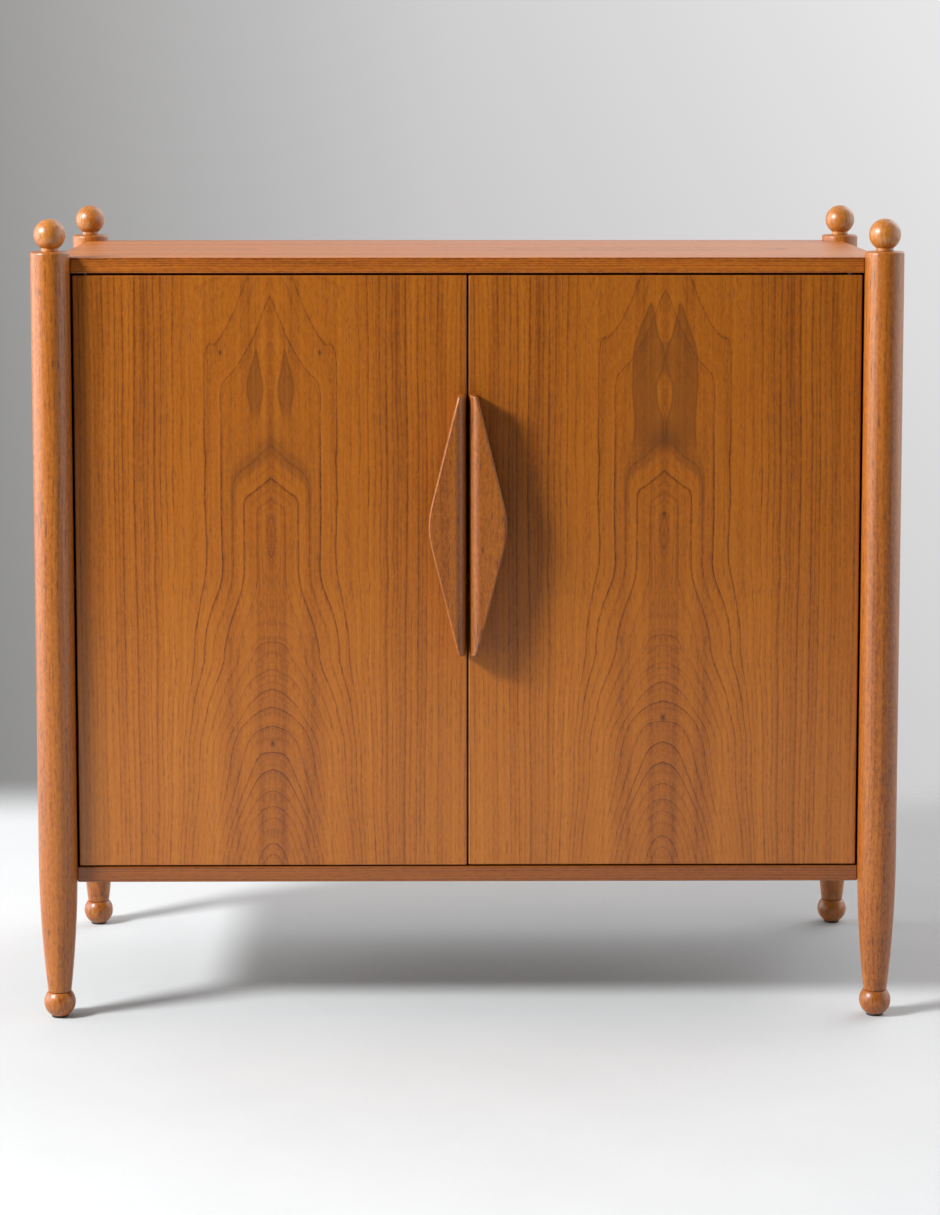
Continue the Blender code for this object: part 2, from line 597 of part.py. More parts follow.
def make_hinges(pivots):
    """Pivot hinges: a plate in the case, a plate in the door's edge, and a collared pin between them."""
    levels = {"top": (TOP_UNDERSIDE, DOOR_HIGH, 1), "bottom": (BOTTOM_UPPER, DOOR_LOW, -1)}
    for side, side_sign in SIDES.items():
        place = (side_sign * PIVOT_X, PIVOT_Y, 0.0)
        for level, (case_face, door_face, outward) in levels.items():
            ending = side + "_" + level
            head = case_face + outward * PLATE_THICKNESS
            door_floor = door_face - outward * PLATE_THICKNESS
            case_span = sorted((case_face, head))
            make_hinge_plate("hinge_case_plate_" + ending, side_sign, case_span, CABINET, place)
            door_span = sorted((door_face, door_floor))
            make_hinge_plate("hinge_door_plate_" + ending, side_sign, door_span, pivots[side], (0, 0, 0))

            low, high = sorted((head, door_floor - outward * HINGE_PIN_REACH))
            collar_low, collar_high = sorted((case_face - outward * FIT_GAP, door_face + outward * FIT_GAP))
            profile = [(0.0, high), (HINGE_PIN_RADIUS, high), (HINGE_PIN_RADIUS, collar_high)]
            profile += [(HINGE_COLLAR_RADIUS, collar_high), (HINGE_COLLAR_RADIUS, collar_low)]
            profile += [(HINGE_PIN_RADIUS, collar_low), (HINGE_PIN_RADIUS, low), (0.0, low)]
            add_turned("hinge_pin_" + ending, profile, "steel", HINGE_STEPS, place=place)


def pull_outline(side_sign):
    """Half-diamond front outline with a rounded apex, measured from the pull's inner edge and centre."""
    half = PULL_LENGTH / 2
    centre = (PULL_MIDDLE_WIDTH - PULL_APEX_RADIUS, 0.0)
    to_end = PULL_END_WIDTH - centre[0]
    slope = math.atan2(half, to_end) - math.acos(PULL_APEX_RADIUS / math.hypot(half, to_end))
    points = [(0.0, -half), (PULL_END_WIDTH, -half)]
    points += arc(centre, PULL_APEX_RADIUS, -slope, slope, PULL_APEX_POINTS)
    points += [(PULL_END_WIDTH, half), (0.0, half)]
    return [(side_sign * x, z) for x, z in points]


def pull_section(side_sign):
    """Cross-section: seat on the door, round inner edge, flat front, and a back sloped off for fingers."""
    front = PULL_PROJECTION
    outer = PULL_MIDDLE_WIDTH + CUT_MARGIN
    lip_back = front - PULL_LIP_THICKNESS
    back_slope = (lip_back - FIT_GAP) / (PULL_MIDDLE_WIDTH - PULL_SEAT_WIDTH)
    round_centre = (PULL_INNER_ROUND, front - PULL_INNER_ROUND)
    points = [(0.0, FIT_GAP)]
    points += arc(round_centre, PULL_INNER_ROUND, math.pi, math.pi / 2, PULL_ROUND_POINTS)
    points += [(outer, front), (outer, lip_back + back_slope * CUT_MARGIN), (PULL_SEAT_WIDTH, FIT_GAP)]
    return [(side_sign * x, -depth) for x, depth in points]


def make_pulls(pivots):
    """Pulls, each shaped by its cross-section and then by its front outline."""
    half = PULL_LENGTH / 2 + CUT_MARGIN
    for side, side_sign in SIDES.items():
        name = "pull_" + side
        place = (side_sign * (PULL_EDGE - PIVOT_X), -DOOR_THICKNESS / 2, PULL_CENTRE_HEIGHT)
        mesh = prism(name, pull_section(side_sign), -half, half)
        pull = add_part(name, mesh, "turned_walnut", pivots[side], place)
        depth_span = (-CUT_MARGIN, PULL_PROJECTION + CUT_MARGIN)
        cut(pull, prism("pull_front", pull_outline(side_sign), *depth_span, UPRIGHT), "INTERSECT")
        for height in screw_heights().values():
            spot = (side_sign * SCREW_INSET, 0.0, height - PULL_CENTRE_HEIGHT)
            turn = Matrix.Translation(spot) @ UPRIGHT
            hole = SCREW_SHANK_RADIUS + FIT_GAP
            cut(pull, cylinder("screw_bite", hole, -CUT_MARGIN, SCREW_BITE + FIT_GAP, SCREW_STEPS, turn))


def make_pull_screws(pivots):
    """Pan-head screws that run from the back of a door into its pull."""
    seat = -DOOR_THICKNESS - FIT_GAP
    head = seat - SCREW_HEAD_HEIGHT
    profile = [(0.0, SCREW_BITE), (SCREW_SHANK_RADIUS, SCREW_BITE), (SCREW_SHANK_RADIUS, seat)]
    profile += [(SCREW_HEAD_RADIUS, seat), (SCREW_HEAD_RADIUS, head), (0.0, head)]
    lying = (math.pi / 2, 0.0, 0.0)
    for side, side_sign in SIDES.items():
        x = side_sign * (PULL_EDGE + SCREW_INSET - PIVOT_X)
        for level, height in screw_heights().items():
            name = "pull_screw_" + side + "_" + level
            place = (x, -DOOR_THICKNESS / 2, height)
            add_turned(name, profile, "steel", SCREW_STEPS, pivots[side], place, lying)


def make_catches(pivots):
    """Magnetic catches under the top, and strike plates on the backs of the doors."""
    strike_rear = DOOR_BACK + FIT_GAP + STRIKE_THICKNESS
    catch_front = strike_rear + FIT_GAP
    catch_high = TOP_UNDERSIDE - FIT_GAP
    strike_high = DOOR_HIGH - STRIKE_TOP_DISTANCE
    strike_face = DOOR_THICKNESS / 2 + FIT_GAP
    for side, side_sign in SIDES.items():
        x = side_sign * CATCH_DISTANCE
        across = (x - CATCH_LENGTH / 2, x + CATCH_LENGTH / 2)
        along = (catch_front, catch_front + CATCH_WIDTH)
        mesh = box("catch_" + side, across, along, (catch_high - CATCH_HEIGHT, catch_high))
        add_part("catch_" + side, mesh, "black_plastic")
        door_x = x - side_sign * PIVOT_X
        across = (door_x - STRIKE_LENGTH / 2, door_x + STRIKE_LENGTH / 2)
        along = (strike_face, strike_face + STRIKE_THICKNESS)
        mesh = box("strike_" + side, across, along, (strike_high - STRIKE_HEIGHT, strike_high))
        add_part("strike_" + side, mesh, "steel", pivots[side])


make_posts()
make_finials()
make_feet()
make_case()
make_fixed_shelf()
make_loose_shelf()
make_stemware_rails()
make_bottle_rails()
DOOR_PIVOTS = make_door_pivots()
make_doors(DOOR_PIVOTS)
make_hinges(DOOR_PIVOTS)
make_pulls(DOOR_PIVOTS)
make_pull_screws(DOOR_PIVOTS)
make_catches(DOOR_PIVOTS)
bpy.context.view_layer.update()
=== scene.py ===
"""Looks of the two-door bar cabinet: turned pieces and pulls, veneers, fittings, light and camera.

Metres, +Z up. X runs to the right and Y to the back. The doors face -Y and the floor is z = 0.
"""
import math

import bmesh
import bpy
from mathutils import Matrix, Vector


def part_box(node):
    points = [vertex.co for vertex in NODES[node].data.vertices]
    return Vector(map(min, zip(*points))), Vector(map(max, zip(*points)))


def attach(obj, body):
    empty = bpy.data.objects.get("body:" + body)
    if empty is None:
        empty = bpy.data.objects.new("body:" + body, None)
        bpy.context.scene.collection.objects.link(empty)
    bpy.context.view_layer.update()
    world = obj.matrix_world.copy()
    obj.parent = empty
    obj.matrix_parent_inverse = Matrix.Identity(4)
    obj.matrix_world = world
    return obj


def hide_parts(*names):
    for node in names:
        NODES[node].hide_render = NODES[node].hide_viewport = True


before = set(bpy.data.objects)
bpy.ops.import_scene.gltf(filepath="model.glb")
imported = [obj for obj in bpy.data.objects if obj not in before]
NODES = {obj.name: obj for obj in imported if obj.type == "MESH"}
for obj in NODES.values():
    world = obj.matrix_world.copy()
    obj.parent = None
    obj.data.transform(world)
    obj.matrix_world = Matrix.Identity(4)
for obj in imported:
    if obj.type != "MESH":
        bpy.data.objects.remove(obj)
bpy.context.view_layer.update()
SIDES = {"left": -1, "right": 1}
ENDS = ("front", "back")

# Sizes and places from the boxes of the CAD nodes
POST_LOW, POST_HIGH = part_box("post_front_left")
POST_RADIUS = (POST_HIGH.x - POST_LOW.x) / 2
POST_TOP = POST_HIGH.z
PANEL_LOW, PANEL_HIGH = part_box("side_panel_right")
PANEL_THICKNESS = PANEL_HIGH.x - PANEL_LOW.x
TOP_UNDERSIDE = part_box("top_panel")[0].z
BOTTOM_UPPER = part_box("bottom_panel")[1].z
DOOR_LOW, DOOR_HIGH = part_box("door_right")
DOOR_FACE = DOOR_LOW.y
DOOR_MIDDLE = (DOOR_LOW.x + DOOR_HIGH.x) / 2
PULL_LOW, PULL_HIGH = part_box("pull_right")
PULL_EDGE = PULL_LOW.x
PULL_MIDDLE_WIDTH = PULL_HIGH.x - PULL_LOW.x
PULL_LENGTH = PULL_HIGH.z - PULL_LOW.z
PULL_CENTRE = (PULL_LOW.z + PULL_HIGH.z) / 2
PULL_PROJECTION = DOOR_FACE - PULL_LOW.y

# Sizes that repeat the CAD model
GAP = 0.0003
LEG_TAPER_START = 0.190
LEG_END_RADIUS = 0.0135
FINIAL_RADIUS = 0.01825
FINIAL_NECK_RADIUS = 0.010
FINIAL_NECK_HEIGHT = 0.0035
FOOT_RADIUS = 0.0184
GLIDE_RADIUS = 0.0098
GLIDE_THICKNESS = 0.002
HOUSING_DEPTH = 0.0145
PULL_END_WIDTH = 0.009
PULL_APEX_RADIUS = 0.100
PULL_INNER_ROUND = 0.014
PULL_SEAT_WIDTH = 0.015
PULL_LIP = 0.013

# Fine roundings of the smooth pieces
POST_RIM_ROUND = 0.0032
SEAM_ROUND = 0.0010
GLIDE_EDGE = 0.0006
PULL_CORNER_ROUND = 0.0045
PULL_ARRIS = 0.0024
ARRIS_SHARE = 0.45
GROOVE_DROP = 0.2 * SEAM_ROUND
# Straight runs next to the rim and the taper of a post, which keep its shading even
RIM_RUN = 3.0 * POST_RIM_ROUND
TAPER_RUN = 0.010

# Steps of the smooth meshes, angles in degrees, and tolerances
POST_STEPS = 96
BALL_STEPS = 72
GLIDE_STEPS = 48
RIM_POINTS = 8
TAPER_POINTS = 28
SEAM_POINTS = 5
FINIAL_POINTS = 36
FOOT_POINTS = 32
GLIDE_POINTS = 4
APEX_POINTS = 16
FLANK_POINTS = 16
CORNER_POINTS = 14
INNER_POINTS = 22
FRONT_POINTS = 12
ARRIS_POINTS = 9
BEVEL_SEGMENTS = 3
TURNED_CREASE = 32.0
PULL_CREASE = 40.0
BEVEL_CREASE = 34.0
FLAT_ANGLE = 0.2
NODE_WELD = 0.000005
PULL_WELD = 0.000002
CUT_MARGIN = 0.004

FOOT_FLAT = GLIDE_THICKNESS + GAP
FOOT_CENTRE = FOOT_FLAT + math.sqrt(FOOT_RADIUS ** 2 - GLIDE_RADIUS ** 2)
FOOT_TOP = FOOT_CENTRE + math.sqrt(FOOT_RADIUS ** 2 - LEG_END_RADIUS ** 2)
LEG_END = FOOT_TOP + GAP
FINIAL_SHOULDER = POST_TOP + GAP
NECK_TO_CENTRE = math.sqrt(FINIAL_RADIUS ** 2 - FINIAL_NECK_RADIUS ** 2)
FINIAL_CENTRE = FINIAL_SHOULDER + FINIAL_NECK_HEIGHT + NECK_TO_CENTRE


class Wire:
    """One output of a shader node. Arithmetic on it adds Math nodes."""

    def __init__(self, graph, socket):
        self.graph = graph
        self.socket = socket

    def __add__(self, other):
        return self.graph.math("ADD", self, other)

    def __radd__(self, other):
        return self.graph.math("ADD", other, self)

    def __sub__(self, other):
        return self.graph.math("SUBTRACT", self, other)

    def __rsub__(self, other):
        return self.graph.math("SUBTRACT", other, self)

    def __mul__(self, other):
        return self.graph.math("MULTIPLY", self, other)

    def __rmul__(self, other):
        return self.graph.math("MULTIPLY", other, self)

    def __pow__(self, other):
        return self.graph.math("POWER", self, other)


class Graph:
    """Builds one node tree."""

    def __init__(self, tree):
        self.tree = tree

    def node(self, kind, **settings):
        made = self.tree.nodes.new(kind)
        for key, setting in settings.items():
            setattr(made, key, setting)
        return made

    def feed(self, socket, source):
        """Link a wire to a socket, or set the socket to a constant."""
        if isinstance(source, Wire):
            self.tree.links.new(source.socket, socket)
        else:
            socket.default_value = source

    def math(self, operation, *sources):
        made = self.node("ShaderNodeMath", operation=operation)
        for socket, source in zip(made.inputs, sources):
            self.feed(socket, source)
        return Wire(self, made.outputs[0])

    def combine(self, x, y, z):
        made = self.node("ShaderNodeCombineXYZ")
        for socket, source in zip(made.inputs, (x, y, z)):
            self.feed(socket, source)
        return Wire(self, made.outputs[0])

    def separate(self, vector):
        made = self.node("ShaderNodeSeparateXYZ")
        self.feed(made.inputs[0], vector)
        return [Wire(self, socket) for socket in made.outputs]

    def coordinates(self, kind="Object"):
        made = self.node("ShaderNodeTexCoord")
        return self.separate(Wire(self, made.outputs[kind]))

    def noise(self, x, y, z, detail=2.0, roughness=0.5):
        """Noise from 0 to 1 at a point that is already scaled."""
        made = self.node("ShaderNodeTexNoise")
        self.feed(made.inputs["Vector"], self.combine(x, y, z))
        made.inputs["Scale"].default_value = 1.0
        made.inputs["Detail"].default_value = detail
        made.inputs["Roughness"].default_value = roughness
        return Wire(self, made.outputs[0])

    def stray(self, across, along, form):
        """Noise from 0 up to a size. The form has scales across and along the grain, a seed and the size."""
        wide, long, seed, size = form
        return self.noise(across * wide, seed, along * long) * size

    def wave(self, across, along, form):
        """The same noise about 0."""
        return self.stray(across, along, form) - form[-1] / 2

    def random(self, source):
        """A random number from 0 to 1 for each whole number."""
        made = self.node("ShaderNodeTexWhiteNoise", noise_dimensions="1D")
        self.feed(made.inputs["W"], source)
        return Wire(self, made.outputs["Value"])

    def smooth(self, source, low, high):
        """0 at low, 1 at high, and a smooth step between. It falls where low is above high."""
        made = self.node("ShaderNodeMapRange", interpolation_type="SMOOTHSTEP")
        self.feed(made.inputs["Value"], source)
        made.inputs["From Min"].default_value = low
        made.inputs["From Max"].default_value = high
        return Wire(self, made.outputs[0])

    def window(self, source, rise, fall):
        """1 between a smooth rise and a smooth fall, each a pair of start and end."""
        return self.smooth(source, *rise) * self.smooth(source, *fall)

    def mix(self, share, first, second):
        """A blend of two numbers."""
        made = self.node("ShaderNodeMix", data_type="FLOAT")
        for socket, source in zip(made.inputs, (share, None, first, second)):
            if source is not None:
                self.feed(socket, source)
        return Wire(self, made.outputs[0])

    def tint(self, share, first, second):
        """A blend of two colours."""
        made = self.node("ShaderNodeMix", data_type="RGBA")
        sockets = [socket for socket in made.inputs if socket.type == "RGBA"]
        self.feed(made.inputs[0], share)
        for socket, source in zip(sockets, (first, second)):
            self.feed(socket, source)
        return Wire(self, [socket for socket in made.outputs if socket.type == "RGBA"][0])

    def ramp(self, source, stops):
        """A colour ramp, with stops of position and linear colour."""
        made = self.node("ShaderNodeValToRGB")
        elements = made.color_ramp.elements
        while len(elements) < len(stops):
            elements.new(1.0)
        for element, (position, colour) in zip(elements, stops):
            element.position = position
            element.color = (*colour, 1.0)
        self.feed(made.inputs[0], source)
        return Wire(self, made.outputs[0])

    def curve(self, source, points):
        """A smooth curve through a few points, each a pair of input and output."""
        xs = [point[0] for point in points]
        ys = [point[1] for point in points]
        x_low, x_span = min(xs), max(xs) - min(xs)
        y_low, y_span = min(ys), max(ys) - min(ys)
        made = self.node("ShaderNodeFloatCurve")
        line = made.mapping.curves[0]
        while len(line.points) < len(points):
            line.points.new(0.5, 0.5)
        for spot, (x, y) in zip(line.points, points):
            spot.location = ((x - x_low) / x_span, (y - y_low) / y_span)
        made.mapping.update()
        self.feed(made.inputs["Value"], (source - x_low) * (1.0 / x_span))
        return Wire(self, made.outputs[0]) * y_span + y_low

    def bell(self, distance, width):
        """1 at a distance of 0, falling away as a bell curve."""
        share = distance * (1.0 / width)
        return self.math("EXPONENT", share * share * -1.0)

    def view_rays(self):
        """Masks for camera rays, and for mirror and glass rays, which show what is behind the object."""
        made = self.node("ShaderNodeLightPath")
        names = ("Is Camera Ray", "Is Glossy Ray", "Is Transmission Ray")
        camera, glossy, clear = [Wire(self, made.outputs[name]) for name in names]
        return camera, self.math("MAXIMUM", glossy, clear)

    def bump(self, height, strength, distance):
        made = self.node("ShaderNodeBump")
        made.inputs["Strength"].default_value = strength
        made.inputs["Distance"].default_value = distance
        self.feed(made.inputs["Height"], height)
        return Wire(self, made.outputs[0])


def new_material(name):
    """A node material with its graph and its Principled shader."""
    material = bpy.data.materials.new(name)
    material.use_nodes = True
    graph = Graph(material.node_tree)
    shader = material.node_tree.nodes["Principled BSDF"]
    return material, graph, shader


# Wood tones from latewood line to light earlywood, as linear colours
WOOD_TONES = (
    (0.00, (0.105, 0.026, 0.003)),
    (0.32, (0.290, 0.079, 0.005)),
    (0.58, (0.480, 0.148, 0.009)),
    (0.80, (0.590, 0.200, 0.016)),
    (1.00, (0.680, 0.255, 0.030)),
)
# Shades of the wood tones, as a factor for each channel
DOOR_SHADE = (0.695, 0.625, 0.38)
TOP_SHADE = (0.92, 0.84, 1.0)
# The inner parts are painted lighter than the doors, as painted light in the dim inside of the cabinet
INNER_PAINTED_LIGHT_SHADE = (0.92, 0.86, 0.80)
BACK_SHADE = (0.70, 0.66, 0.66)
# The sides are painted darker, as painted shade against the strong light from the left
SIDE_PAINTED_SHADE = (0.52, 0.48, 0.52)
TURNED_SHADE = (0.69, 0.63, 0.72)
FINIAL_SHADE = (0.80, 0.85, 1.55)
PULL_SHADE = (0.54, 0.47, 0.56)
# The bottom panel is painted darker, as painted shade against the light it takes from the floor
BOTTOM_PAINTED_SHADE = (0.50, 0.41, 0.38)
UNDERSIDE_COLOUR = (0.150, 0.125, 0.105, 1.0)
PORE_COLOUR = (0.080, 0.021, 0.006, 1.0)
MARK_COLOUR = (0.120, 0.034, 0.004, 1.0)
KNOT_COLOUR = (0.045, 0.012, 0.004, 1.0)

# Noises of the grain: scales per metre across and along it, detail and roughness
DASHES = (520.0, 150.0, 1.0, 0.5)
FIBRES = (420.0, 9.0, 2.0, 0.6)
SPECKS = (460.0, 190.0, 2.0, 0.7)
STREAKS = (120.0, 1.7, 2.0, 0.55)
BANDS = (30.0, 0.8, 1.0, 0.5)
PORES = (560.0, 62.0, 1.0, 0.5)

# Breadth of a latewood line, in metres, on the side where it fades in and at its core
LINE_FADE = 0.0019
LINE_CORE = 0.0005
# How far ring numbers wander, and the scale, detail and seed of that noise
WANDER_RINGS = 1.3
WANDER_SCALE = 0.55
WANDER_DETAIL = 1.0
WANDER_SEED = (3.7, 1.3)
# Finer lines between the rings: lines per ring, the wander that is added, and where a line rises and falls
FINE_LINES = 2.7
FINE_WANDER = 2.0
FINE_RISE = (0.55, 0.92)
FINE_FALL = (1.0, 0.94)
# Noise levels over which dashes, bands and pores come in, and the part of a ring that has more pores
DASH_STEP = (0.38, 0.62)
BAND_STEP = (0.30, 0.70)
PORE_STEP = (0.57, 0.72)
PORE_RING_STEP = (0.25, 0.9)
LEAST_PORES = 0.35
ADDED_PORES = 0.65
# Strength of a line between its dashes, and what a dash adds
LEAST_LINE = 0.55
ADDED_LINE = 0.6
# Power by which a ring darkens towards its line
LATE_POWER = 3.0

# Tone of plain wood, and the shares that the parts of the grain have in it
PLAIN_TONE = 0.62
BAND_TONE = 0.17
STREAK_TONE = 0.46
FIBRE_TONE = 0.24
SPECK_TONE = 0.44
FINE_LINE_TONE = 0.06
PORE_SHARE = 0.36
# Darkness of latewood and of its line, in the palest ring and what is added in the darkest
LATE_TONE = 0.03
ADDED_LATE_TONE = 0.07
LINE_TONE = 0.12
ADDED_LINE_TONE = 0.22

# Sheen and relief of the wood
LACQUER_IOR = 1.45
LACQUER_COAT = 0.42
VENEER_COAT_ROUGHNESS = 0.22
SOLID_COAT_ROUGHNESS = 0.30
WOOD_ROUGHNESS = 0.38
FIBRE_ROUGHNESS = 0.16
PORE_ROUGHNESS = 0.10
GRAIN_BUMP = (0.22, 0.0004)
FIBRE_RELIEF = 0.35
PORE_RELIEF = 0.8
LINE_RELIEF = 0.25


def shaded(shade):
    """The wood tones times a shade for each channel."""
    stops = []
    for position, colour in WOOD_TONES:
        stops.append((position, tuple(channel * share for channel, share in zip(colour, shade))))
    return stops


def grain_noise(graph, place, form):
    """Noise drawn out along the grain, at a place given across, through and along it."""
    across, through, along = place
    wide, long, detail, roughness = form
    return graph.noise(across * wide, through * wide, along * long, detail, roughness)


def finish_wood(graph, shader, rings, slope, place, shade, contrast, tone=0.0, speckle=1.0):
    """Set roughness and bump from rings, rings per metre and a place in the grain, and return the colour."""
    wander = graph.noise(rings * WANDER_SCALE, *WANDER_SEED, WANDER_DETAIL)
    count = rings + (wander - 0.5) * WANDER_RINGS
    part = graph.math("FRACT", count)
    strength = graph.random(graph.math("FLOOR", count))
    late = part ** LATE_POWER
    dash = graph.smooth(grain_noise(graph, place, DASHES), *DASH_STEP)
    before = graph.smooth(graph.math("DIVIDE", 1.0 - part, slope), LINE_FADE, LINE_CORE)
    after = graph.smooth(graph.math("DIVIDE", part, slope), LINE_CORE, 0.0)
    line = graph.math("MAXIMUM", before, after) * (LEAST_LINE + ADDED_LINE * dash)
    fine = graph.math("FRACT", count * FINE_LINES + wander * FINE_WANDER)
    fine_line = graph.window(fine, FINE_RISE, FINE_FALL)

    fibre = grain_noise(graph, place, FIBRES)
    speck = grain_noise(graph, place, SPECKS)
    streak = grain_noise(graph, place, STREAKS)
    band = graph.smooth(grain_noise(graph, place, BANDS), *BAND_STEP)
    pore = graph.smooth(grain_noise(graph, place, PORES), *PORE_STEP)
    pore = pore * (LEAST_PORES + ADDED_PORES * graph.smooth(part, *PORE_RING_STEP))

    level = PLAIN_TONE + tone + (band - 0.5) * BAND_TONE + (streak - 0.5) * STREAK_TONE
    level = level + (fibre - 0.5) * FIBRE_TONE + (speck - 0.5) * (SPECK_TONE * speckle)
    dark = late * (LATE_TONE + ADDED_LATE_TONE * strength) + fine_line * FINE_LINE_TONE
    dark = dark + line * (LINE_TONE + ADDED_LINE_TONE * strength)
    colour = graph.ramp(level - dark * contrast, shaded(shade))
    relief = (fibre - 0.5) * FIBRE_RELIEF - pore * PORE_RELIEF - line * LINE_RELIEF
    roughness = WOOD_ROUGHNESS + (fibre - 0.5) * FIBRE_ROUGHNESS + pore * PORE_ROUGHNESS
    graph.feed(shader.inputs["Roughness"], roughness)
    graph.feed(shader.inputs["Normal"], graph.bump(relief, *GRAIN_BUMP))
    return graph.tint(pore * (PORE_SHARE * speckle), colour, PORE_COLOUR)


def add_lacquer(shader, coat, roughness):
    """A clear coat over the wood."""
    shader.inputs["IOR"].default_value = LACQUER_IOR
    shader.inputs["Coat Weight"].default_value = coat
    shader.inputs["Coat Roughness"].default_value = roughness
    shader.inputs["Coat IOR"].default_value = LACQUER_IOR


# Height and ring number along the seam of a door, from its bottom edge to its top edge
DOOR_LEVELS = (
    (0.1800, -14.4),
    (0.2222, -11.2),
    (0.2805, -7.5),
    (0.3358, -5.6),
    (0.3664, -3.9),
    (0.3941, -2.9),
    (0.4300, -1.6),
    (0.4895, -0.5),
    (0.5300, -1.0),
    (0.5706, -1.6),
    (0.5970, -0.9),
    (0.6380, 1.0),
    (0.6770, 2.0),
    (0.6950, 2.2),
    (0.7900, 2.4),
    (0.8685, 3.2),
)
# Height and slope of the arch flanks beside the seam
DOOR_TILT = (
    (0.1800, 0.0),
    (0.4600, 0.0),
    (0.5300, -0.9),
    (0.5750, 0.0),
    (0.6200, 0.8),
    (0.7000, 1.0),
    (0.8000, 2.4),
    (0.8685, 2.4),
)
# Lower arches are hyperbolas: rings per metre of their flanks, and tips that widen with height
ARCH_RINGS = 150.0
ARCH_TIP = 0.004
ARCH_TIP_HEIGHT = 0.178
ARCH_SPREAD = 0.42
LEAST_TIP = 0.003
LARGEST_TIP = 0.080
# Heights over which the arches give way to the straight flanks of the upper figure
ARCH_END = (0.430, 0.530)
# Straight flanks: rings per metre, the highest ring that they start from, and softness of the join
NEAR_RINGS = 80.0
STRAIGHT_LEVEL = -1.6
SOFTNESS = 0.8
# Straight grain far from the seam: rings per metre, and the ring number at a distance
FAR_RINGS = 168.0
FAR_AWAY = 0.100
FAR_LEVEL = 4.6
# Distances over which the figure gives way to straight grain
FIGURE_REACH = (0.050, 0.165)
# Step over which the slope of the rings is measured, and the least slope in rings per metre
SLOPE_STEP = 0.001
LEAST_SLOPE = 30.0

# Waves in the door figure: scales across and up the door, seed and size
DOOR_SWAY = (14.0, 2.4, 0.0, 0.016)
DOOR_SWELL = (26.0, 5.0, 5.0, 0.007)
DOOR_RIPPLE = (60.0, 12.0, 9.0, 1.0)
MARK_WAVE = (40.0, 22.0, 3.0, 0.006)
# Size of the ripple by the seam, what is added far off, and the distances between
NEAR_RIPPLE = 0.14
ADDED_RIPPLE = 0.46
RIPPLE_REACH = (0.030, 0.100)

# A dark ring round the middle figure: its number and breadth in rings, and where it shows
DARK_RING = 1.95
DARK_RING_BREADTH = 0.24
DARK_RING_SHARE = 0.42
DARK_RING_RISE = (0.54, 0.64)
DARK_RING_FALL = (0.715, 0.690)
DARK_RING_REACH = (0.075, 0.045)

# Contrast of the lines in the arches and elsewhere, and where the arches are
ARCH_CONTRAST = 1.25
PLAIN_CONTRAST = 0.66
ARCHES_RISE = (0.20, 0.34)
ARCHES_FALL = (0.71, 0.65)
ARCHES_REACH = (0.115, 0.065)

# Tone of a door: one leaf is darker low down and the seam is darker; the lower part has painted light and
# the upper part painted shade
LEAF_TONE = 0.025
LEAF_FADE = (0.62, 0.25)
SEAM_TONE = 0.04
SEAM_BREADTH = 0.045
PAINTED_LOW_LIGHT = 0.06
PAINTED_HIGH_SHADE = -0.05
PAINTED_LIGHT_HEIGHTS = (0.25, 0.75)

# Knots: shape, spread and size of the bulge in the rings, and darkness
KNOT_STRETCH = 0.45
KNOT_REACH = 4.0
KNOT_BULGE = 0.22
KNOT_SHARE = 0.85

# The dark mark: fades at its foot, tip and edges, breadth of its outline, and darkness
MARK_FOOT = 0.030
MARK_TIP = (0.002, -0.004)
MARK_EDGE = (-0.002, 0.003)
MARK_OUTLINE = 0.0013
MARK_FILL_SHARE = 0.60
MARK_OUTLINE_SHARE = 0.70
MARK_SHARE = 0.72


def arch_rings(graph, away, height, sway):
    """Ring number at a distance from the seam and a height: arches by the seam, straight grain far off."""
    seam_level = graph.curve(height + graph.curve(height, DOOR_TILT) * away, DOOR_LEVELS)
    tip = graph.math("MAXIMUM", ARCH_TIP + (height - ARCH_TIP_HEIGHT) * ARCH_SPREAD, LEAST_TIP)
    tip = graph.math("MINIMUM", tip, LARGEST_TIP)
    arch = (graph.math("SQRT", away * away + tip * tip) - tip) * ARCH_RINGS
    rise = graph.mix(graph.smooth(height, *ARCH_END), arch, away * NEAR_RINGS)
    straight = graph.math("MINIMUM", seam_level, STRAIGHT_LEVEL) + rise
    near = graph.math("SMOOTH_MAX", seam_level, straight, SOFTNESS)
    far = (away + sway - FAR_AWAY) * FAR_RINGS + FAR_LEVEL
    return graph.mix(graph.smooth(away, *FIGURE_REACH), near, far)


def leaf_mark(graph, away, z, inner, outer):
    """A dark mark between two curves beside the seam, with a darker outline, pointed at its upper end."""
    top = inner[-1][0]
    foot = inner[0][0]
    to_inner = away - graph.curve(z, inner)
    to_outer = graph.curve(z, outer) - away
    span = graph.window(z, (foot, foot + MARK_FOOT), [top + step for step in MARK_TIP])
    filled = graph.smooth(to_inner, *MARK_EDGE) * graph.smooth(to_outer, *MARK_EDGE)
    outline = graph.math("MAXIMUM", graph.bell(to_inner, MARK_OUTLINE), graph.bell(to_outer, MARK_OUTLINE))
    return (filled * MARK_FILL_SHARE + outline * MARK_OUTLINE_SHARE) * span


